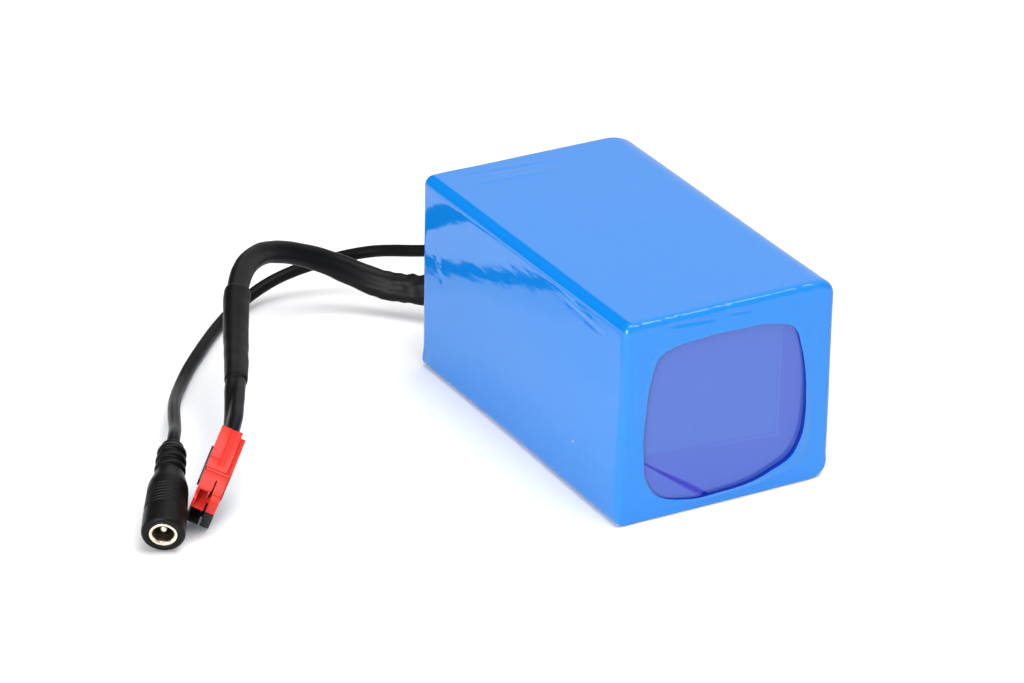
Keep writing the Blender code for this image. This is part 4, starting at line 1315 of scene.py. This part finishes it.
@dataclass
class Socket:
    """The moulded in-line charging socket. In its own frame its face is at y = 0 and its cable end at +Y.

    Attributes:
        place: the frame it stands in.
        segments: points round its axis.
    """

    place: Matrix
    segments: int = 72

    def turned(self, name: str, profile: Array, segments: int) -> bpy.types.Object:
        """A solid turned about Y: a ring (r cos a, y, r sin a) for each point of a closed or pole-to-pole profile.

        Args:
            name: the piece's name.
            profile: rows of radius and y, in metres.
            segments: points round the axis.

        Returns:
            The new piece, not yet dressed.
        """
        turn = np.linspace(0.0, 2 * pi, segments, endpoint=False)
        r, y = profile[:, :1], profile[:, 1:]
        rings = np.stack([r * np.cos(turn), y + 0.0 * turn, r * np.sin(turn)], axis=-1)
        poles = bool(profile[0, 0] < 0.05 * MM and profile[-1, 0] < 0.05 * MM)
        return closed_piece(name, in_frame(self.place, rings), wrap_rows=not poles)

    @staticmethod
    def rounded(points: list[tuple[float, float, float]], pieces: int = 4) -> Array:
        """A profile in metres from corners in millimetres, each rounded by its own radius.

        A corner p with radius r is replaced by the quadratic curve from p + r u to p + r v, where
        u and v are the directions back and on.

        Args:
            points: radius, y and rounding of each corner.
            pieces: how many steps a rounded corner has.

        Returns:
            Rows of radius and y.
        """
        corners = np.array(points)
        places, radii = corners[:, :2], corners[:, 2]
        made = []
        t = np.linspace(0.0, 1.0, pieces + 1)[:, None]
        for number, (place, radius) in enumerate(zip(places, radii)):
            before = places[number - 1] - place
            after = places[(number + 1) % len(places)] - place
            reach = min(radius, 0.45 * np.linalg.norm(before), 0.45 * np.linalg.norm(after))
            ends = number in (0, len(places) - 1) and place[0] == 0.0
            if radius == 0.0 or ends:
                made.append(place[None])
                continue
            start = place + reach * before / np.linalg.norm(before)
            stop = place + reach * after / np.linalg.norm(after)
            made.append((1 - t) ** 2 * start + 2 * t * (1 - t) * place + t**2 * stop)
        profile = np.vstack(made) * MM
        profile[profile[:, 0] == 0.0, 0] = 0.01 * MM
        return profile

    def body(self) -> bpy.types.Object:
        """The moulding: a smooth grip, fine ribs, a shoulder, and a relief of collars and grooves."""
        corners = [(4.25, 11.3, 0.0), (4.25, 0.35, 0.25), (4.75, 0.0, 0.3), (5.75, 0.0, 0.35), (6.37, 0.6, 0.5), (6.35, 8.2, 0.4)]
        for rib in range(7):
            y = 8.5 + 1.25 * rib
            radius = 6.3 - 0.05 * rib
            corners += [(radius - 0.28, y, 0.16), (radius - 0.28, y + 0.3, 0.16), (radius, y + 0.5, 0.2), (radius, y + 1.0, 0.2)]
        corners += [(6.0, 17.8, 0.5), (5.85, 19.8, 1.2), (4.95, 22.8, 1.5), (4.4, 25.2, 1.0)]
        for collar, radius in ((26.6, 4.55), (30.2, 4.5), (33.6, 4.3)):
            corners += [(3.55, collar - 0.75, 0.25), (3.55, collar - 0.1, 0.25), (radius, collar + 0.15, 0.3), (radius, collar + 1.3, 0.3)]
        corners += [(3.5, 36.1, 0.3), (3.4, 36.7, 0.3), (3.3, 37.6, 0.5), (2.3, 38.0, 0.3), (2.0, 37.6, 0.2), (2.0, 34.0, 0.0), (0.0, 34.0, 0.0)]
        profile = self.rounded(corners)
        floor = np.array([(0.01, 11.6), (4.25, 11.6)]) * MM
        profile = np.vstack([floor, profile])
        profile[-1, 0] = 0.01 * MM
        piece = self.turned("socket_moulding", profile, self.segments)
        return dress(piece, Finishes.SOCKET, ("socket_body",))

    def barrel(self) -> bpy.types.Object:
        """The metal ring and tube inside the moulding's mouth, with a lead-in at its bore."""
        corners = [(3.0, 9.6, 0.1), (3.0, 0.5, 0.2), (3.35, 0.02, 0.2), (4.0, 0.02, 0.2), (4.15, 0.25, 0.1), (4.15, 9.6, 0.1)]
        piece = self.turned("socket_ring", self.rounded(corners), self.segments)
        return dress(piece, Finishes.SOCKET_METAL, ("socket_barrel",))

    def pin(self) -> bpy.types.Object:
        """The centre pin with its rounded nose."""
        corners = [(0.0, 2.0, 0.0), (0.55, 2.0, 0.3), (1.05, 2.5, 0.3), (1.05, 13.0, 0.1), (0.0, 13.0, 0.0)]
        piece = self.turned("socket_centre_pin", self.rounded(corners), 32)
        return dress(piece, Finishes.SOCKET_METAL, ("socket_pin",))

    def build(self) -> list[bpy.types.Object]:
        """All of the socket's pieces."""
        return [self.body(), self.barrel(), self.pin()]


# ---------------------------------------------------------------- the stacked connector


@dataclass
class Housing:
    """One housing of the stacked connector. In its own frame its wire end is at y = 0 and its nose at -Y.

    Attributes:
        place: the connector's frame.
        name: which housing it is.
        level: how far above the connector's middle its own axis lies.
        finish: what it is finished in.
        left_rail: whether it has a rail on its left side too.
        length: its length.
        side: its width and height.
        body_right: the right side of its main body, where the rail begins.
        bevel: the rounding of its edges.
    """

    place: Matrix
    name: str
    level: float
    finish: Finishes
    left_rail: bool = False
    length: float = 24.6 * MM
    side: float = 7.8 * MM
    body_right: float = 2.45 * MM
    bevel: float = 0.10 * MM

    def block(self, name: str, low: Point, high: Point) -> bpy.types.Object:
        """A box between two corners in millimetres, in the housing's frame, as a helper or a start.

        Its eight corners are every choice of low or high along X, Y and Z.
        """
        pick = np.array([(x, y, z) for x in (0, 1) for y in (0, 1) for z in (0, 1)])
        corners = np.array(low) + pick * (np.array(high) - np.array(low))
        faces = [(0, 1, 3, 2), (4, 6, 7, 5), (0, 4, 5, 1), (2, 3, 7, 6), (0, 2, 6, 4), (1, 5, 7, 3)]
        mesh = bpy.data.meshes.new(name)
        mesh.from_pydata((corners * MM).tolist(), [], faces)
        made = bpy.data.objects.new(name, mesh)
        bpy.context.scene.collection.objects.link(made)
        return made

    def bore(self, name: str, x: float, radius: float, low: float, high: float) -> bpy.types.Object:
        """A round cutter along Y, in millimetres."""
        turn = np.linspace(0.0, 2 * pi, 40, endpoint=False)
        y = np.array([low, high])[:, None]
        grid = np.stack([x + radius * np.cos(turn) + 0 * y, y + 0 * turn, radius * np.sin(turn) + 0 * y], axis=-1)
        return closed_piece(name, grid * MM)

    def carve(self, piece: bpy.types.Object, other: bpy.types.Object, operation: str = "DIFFERENCE") -> None:
        """Adds a Boolean on piece by other."""
        modifier = piece.modifiers.new(other.name, "BOOLEAN")
        modifier.operation = operation
        modifier.solver = "EXACT"
        modifier.object = other

    def cuts(self) -> dict[str, tuple[Point, Point]]:
        """The corners of every straight cut, in millimetres."""
        half = self.side / MM / 2
        return {
            "chamber": ((-3.0, -22.8, -2.9), (1.6, -10.4, 2.9)),
            "mouth": ((-3.1, -26.0, -3.1), (0.1, -20.4, 3.1)),
            "hood": ((-5.0, -26.0, 0.9), (0.1, -22.4, 5.0)),
            "slit": ((0.25, -22.0, 1.0), (0.65, -18.2, 5.0)),
            "slot": ((0.1, -26.0, -5.0), (0.7, -21.6, 5.0)),
            "right_nose": ((0.6, -26.0, half - 0.45), (5.0, -23.0, 5.0)),
            "top_band": ((-0.9, -13.4, half - 0.25), (1.1, 1.0, 5.0)),
            "under_band": ((-0.9, -13.4, -5.0), (1.1, 1.0, -half + 0.25)),
            "left_band": ((-5.0, -13.4, -1.0), (-half + 0.35, 1.0, 1.0)),
            "step_top": ((-5.0, -11.35, half - 0.12), (0.6, -11.1, 5.0)),
            "groove_top": ((-5.0, -15.2, half - 0.22), (5.0, -14.9, 5.0)),
            "groove_next": ((-5.0, -16.2, half - 0.22), (5.0, -15.9, 5.0)),
            "groove_left": ((-5.0, -16.2, -5.0), (-half + 0.3, -14.9, 5.0)),
            "groove_right": ((half - 0.3, -16.2, -5.0), (5.0, -14.9, 5.0)),
            "front_right": ((self.body_right / MM + 1.0, -26.0, -5.0), (5.0, -16.2, 5.0)),
        }

    def build(self) -> bpy.types.Object:
        """The housing: a square block and a side rail, hollowed and grooved, with its edges rounded."""
        half = self.side / MM / 2
        right = self.body_right / MM
        start = self.block(f"housing_{self.name}_piece", (-half, -self.length / MM, -half), (right, 0.0, half))
        helpers = [
            self.block("rail", (right - 0.5, -15.0, -2.8), (half, -1.2, 2.8)),
            self.block("front", (right - 0.5, -self.length / MM, -half), (half, -14.9, half)),
        ]
        if self.left_rail:
            helpers.append(self.block("left_rail", (-half - 0.55, -13.5, -1.6), (-half + 0.2, -1.2, 1.6)))
        for helper in helpers:
            self.carve(start, helper, "UNION")
        hole = self.bore("wire_bore", -0.65, 2.25, -11.0, 1.0)
        helpers.append(hole)
        self.carve(start, hole)
        for cut, (low, high) in self.cuts().items():
            helper = self.block(cut, low, high)
            helpers.append(helper)
            self.carve(start, helper)
        rounding = start.modifiers.new("rounding", "BEVEL")
        rounding.width = self.bevel
        rounding.segments = 2
        rounding.limit_method = "ANGLE"
        rounding.angle_limit = radians(35)
        rounding.harden_normals = False
        bpy.context.view_layer.update()
        shown = start.evaluated_get(bpy.context.evaluated_depsgraph_get())
        mesh = bpy.data.meshes.new_from_object(shown)
        bpy.data.objects.remove(start, do_unlink=True)
        for helper in helpers:
            bpy.data.objects.remove(helper, do_unlink=True)
        mesh.transform(self.place @ Matrix.Translation((0.0, 0.0, self.level)))
        mesh.shade_smooth()
        mesh.set_sharp_from_angle(angle=radians(40))
        piece = bpy.data.objects.new(f"housing_{self.name}_shell", mesh)
        bpy.context.scene.collection.objects.link(piece)
        LOG.info("%s: %d points", piece.name, len(mesh.vertices))
        return dress(piece, self.finish, (f"housing_{self.name}",))


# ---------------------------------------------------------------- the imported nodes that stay


def dress_nodes() -> None:
    """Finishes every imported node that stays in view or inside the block, by the start of its name."""
    by_name = {
        "cell_": Finishes.CELL,
        "nickel_": Finishes.NICKEL,
        "front_end_board": Finishes.END_BOARD,
        "rear_end_board": Finishes.END_BOARD,
        "top_board": Finishes.END_BOARD,
        "bottom_board": Finishes.END_BOARD,
        "left_side_board": Finishes.PAPER,
        "right_side_board": Finishes.PAPER,
        "rear_spacer": Finishes.FOAM,
        "bms_board": Finishes.BOARD,
        "bms_mosfet": Finishes.CHIP,
        "bms_chip": Finishes.CHIP,
        "sense_wire": Finishes.WIRE_SENSE,
        "negative_link": Finishes.WIRE_BLACK,
        "discharge_wire_positive": Finishes.WIRE_RED,
        "discharge_wire_negative": Finishes.WIRE_BLACK,
        "socket_insulator": Finishes.SOCKET,
        "contact_": Finishes.CONTACT,
        "leaf_spring_": Finishes.SPRING,
    }
    for node, piece in sorted(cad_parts.items()):
        for start, finish in by_name.items():
            if node.startswith(start):
                for slot in piece.material_slots:
                    slot.material = finish.value.material()


# ---------------------------------------------------------------- studio


@dataclass
class Studio:
    """A white floor, a bright surround with one dark side, a soft light overhead and the camera.

    Attributes:
        camera_place: where the camera stands.
        azimuth: its direction round the block, in degrees.
        elevation: how far it looks down, in degrees.
        roll: its turn about its own axis, in degrees.
        focal_pixels: its focal length in picture widths of 1024.
        surround: the surround's brightness in front and behind.
        overhead: the overhead light's power.
        fill: the power of the light at the left front.
        sparkle: the power of the small light that picks out the front's upper edge.
    """

    camera_place: Point = (-0.6839, -1.1352, 0.6647)
    azimuth: float = -29.668
    elevation: float = 25.755
    roll: float = 0.870
    focal_pixels: float = 4934.4
    surround: tuple[float, float] = (0.5, 1.0)
    overhead: float = 12.6
    fill: float = 28.0
    sparkle: float = 0.8

    def camera(self) -> None:
        """The camera, turned so that its columns are right, up and back."""
        az, el, roll = radians(self.azimuth), radians(self.elevation), radians(self.roll)
        back = np.array([np.sin(az) * np.cos(el), -np.cos(az) * np.cos(el), np.sin(el)])
        right = unit(np.cross(-back, (0.0, 0.0, 1.0)))
        up = np.cross(right, -back)
        columns = [
            np.cos(roll) * right + np.sin(roll) * up,
            -np.sin(roll) * right + np.cos(roll) * up,
            back,
        ]
        data = bpy.data.cameras.new("camera")
        data.sensor_width = 36.0
        data.lens = self.focal_pixels / 1024 * data.sensor_width
        data.clip_end = 20.0
        camera = bpy.data.objects.new("camera", data)
        bpy.context.scene.collection.objects.link(camera)
        turn = Matrix(np.column_stack(columns).tolist()).to_4x4()
        camera.matrix_world = Matrix.Translation(Vector(self.camera_place)) @ turn
        bpy.context.scene.camera = camera

    def floor(self) -> None:
        """A large plain floor."""
        mesh = bpy.data.meshes.new("floor")
        half = 6.0
        mesh.from_pydata([(-half, -half, 0), (half, -half, 0), (half, half, 0), (-half, half, 0)], [], [(0, 1, 2, 3)])
        floor = bpy.data.objects.new("floor", mesh)
        bpy.context.scene.collection.objects.link(floor)
        mesh.materials.append(Finishes.FLOOR.value.material())

    def surroundings(self) -> None:
        """The world: bright all round, with a dark side beyond the block's left rear."""
        world = bpy.data.worlds.new("surround")
        world.use_nodes = True
        bpy.context.scene.world = world
        sketch = Sketch(world.node_tree)
        background = world.node_tree.nodes["Background"]
        way = sketch.add("ShaderNodeTexCoord").outputs["Generated"]
        parts = sketch.add("ShaderNodeSeparateXYZ")
        sketch.put(parts.inputs[0], way)
        x, y, z = parts.outputs
        left = sketch.ramp(x, 0.26, 0.38, 1.0, 0.0)
        behind = sketch.ramp(y, 0.05, 0.35)
        low = sketch.ramp(z, 0.72, 0.88, 1.0, 0.0)
        dark = sketch.math("MULTIPLY", sketch.math("MULTIPLY", left, behind), low)
        seen = sketch.add("ShaderNodeLightPath").outputs["Is Camera Ray"]
        hidden = sketch.math("MULTIPLY", dark, sketch.math("SUBTRACT", 1.0, seen))
        level = sketch.ramp(y, -0.4, 0.3, *self.surround)
        lit = sketch.math("MULTIPLY", level, sketch.math("SUBTRACT", 1.0, sketch.math("MULTIPLY", hidden, 0.97)))
        plain = sketch.math("MAXIMUM", lit, seen)
        background.inputs["Color"].default_value = (1.0, 1.0, 1.0, 1.0)
        sketch.put(background.inputs["Strength"], plain)

    def light(self, name: str, place: Point, size: float, power: float) -> None:
        """A square soft light that faces the middle of the block and its leads."""
        data = bpy.data.lights.new(name, "AREA")
        data.shape = "SQUARE"
        data.size = size
        data.energy = power
        light = bpy.data.objects.new(name, data)
        bpy.context.scene.collection.objects.link(light)
        light.location = place
        aim = Vector((-0.03, 0.02, 0.03)) - light.location
        light.rotation_euler = aim.to_track_quat("-Z", "Y").to_euler()

    def build(self) -> None:
        """All of the studio, and a plain colour transform."""
        self.camera()
        self.floor()
        self.surroundings()
        self.light("overhead", (0.10, -0.26, 1.15), 0.9, self.overhead)
        self.light("fill", (-1.3, -1.0, 0.5), 0.8, self.fill)
        self.light("sparkle", (0.30, -0.30, 1.10), 0.12, self.sparkle)
        bpy.context.scene.view_settings.view_transform = "Standard"
        bpy.context.scene.view_settings.look = "None"


# ---------------------------------------------------------------- everything in order


def main() -> None:
    """Builds the studio, the leads, the connectors and the films, in that order."""
    logging.basicConfig(level=logging.INFO, format="%(name)s %(message)s")
    Studio().build()
    socket_frame = local_frame((-157.9 * MM, -13.8 * MM, 6.4 * MM), -30.2, 14.5)
    connector_frame = local_frame((-126.9 * MM, 6.2 * MM, 19.1 * MM), -47.0, 26.4, 23.0)
    charge = ChargeLead(socket_frame)
    charge_lead = charge.build()
    discharge = DischargeLead(connector_frame)
    discharge_lead, overlap = discharge.build()
    wires = [
        discharge.wire(-1, "red_wire", Finishes.WIRE_RED, "discharge_wire_positive"),
        discharge.wire(1, "black_wire", Finishes.WIRE_BLACK, "discharge_wire_negative"),
    ]
    socket_pieces = Socket(socket_frame).build()
    pitch = 7.9 * MM
    housings = [
        Housing(connector_frame, "red", pitch / 2, Finishes.HOUSING_RED).build(),
        Housing(connector_frame, "black", -pitch / 2, Finishes.HOUSING_BLACK, left_rail=True).build(),
    ]
    block = Block()
    OuterFilm(block, Opening(), creases=film_creases(), crumples=film_crumples()).build()
    InnerFilm(block).build()
    dress_nodes()


if __name__ == "__main__":
    main()
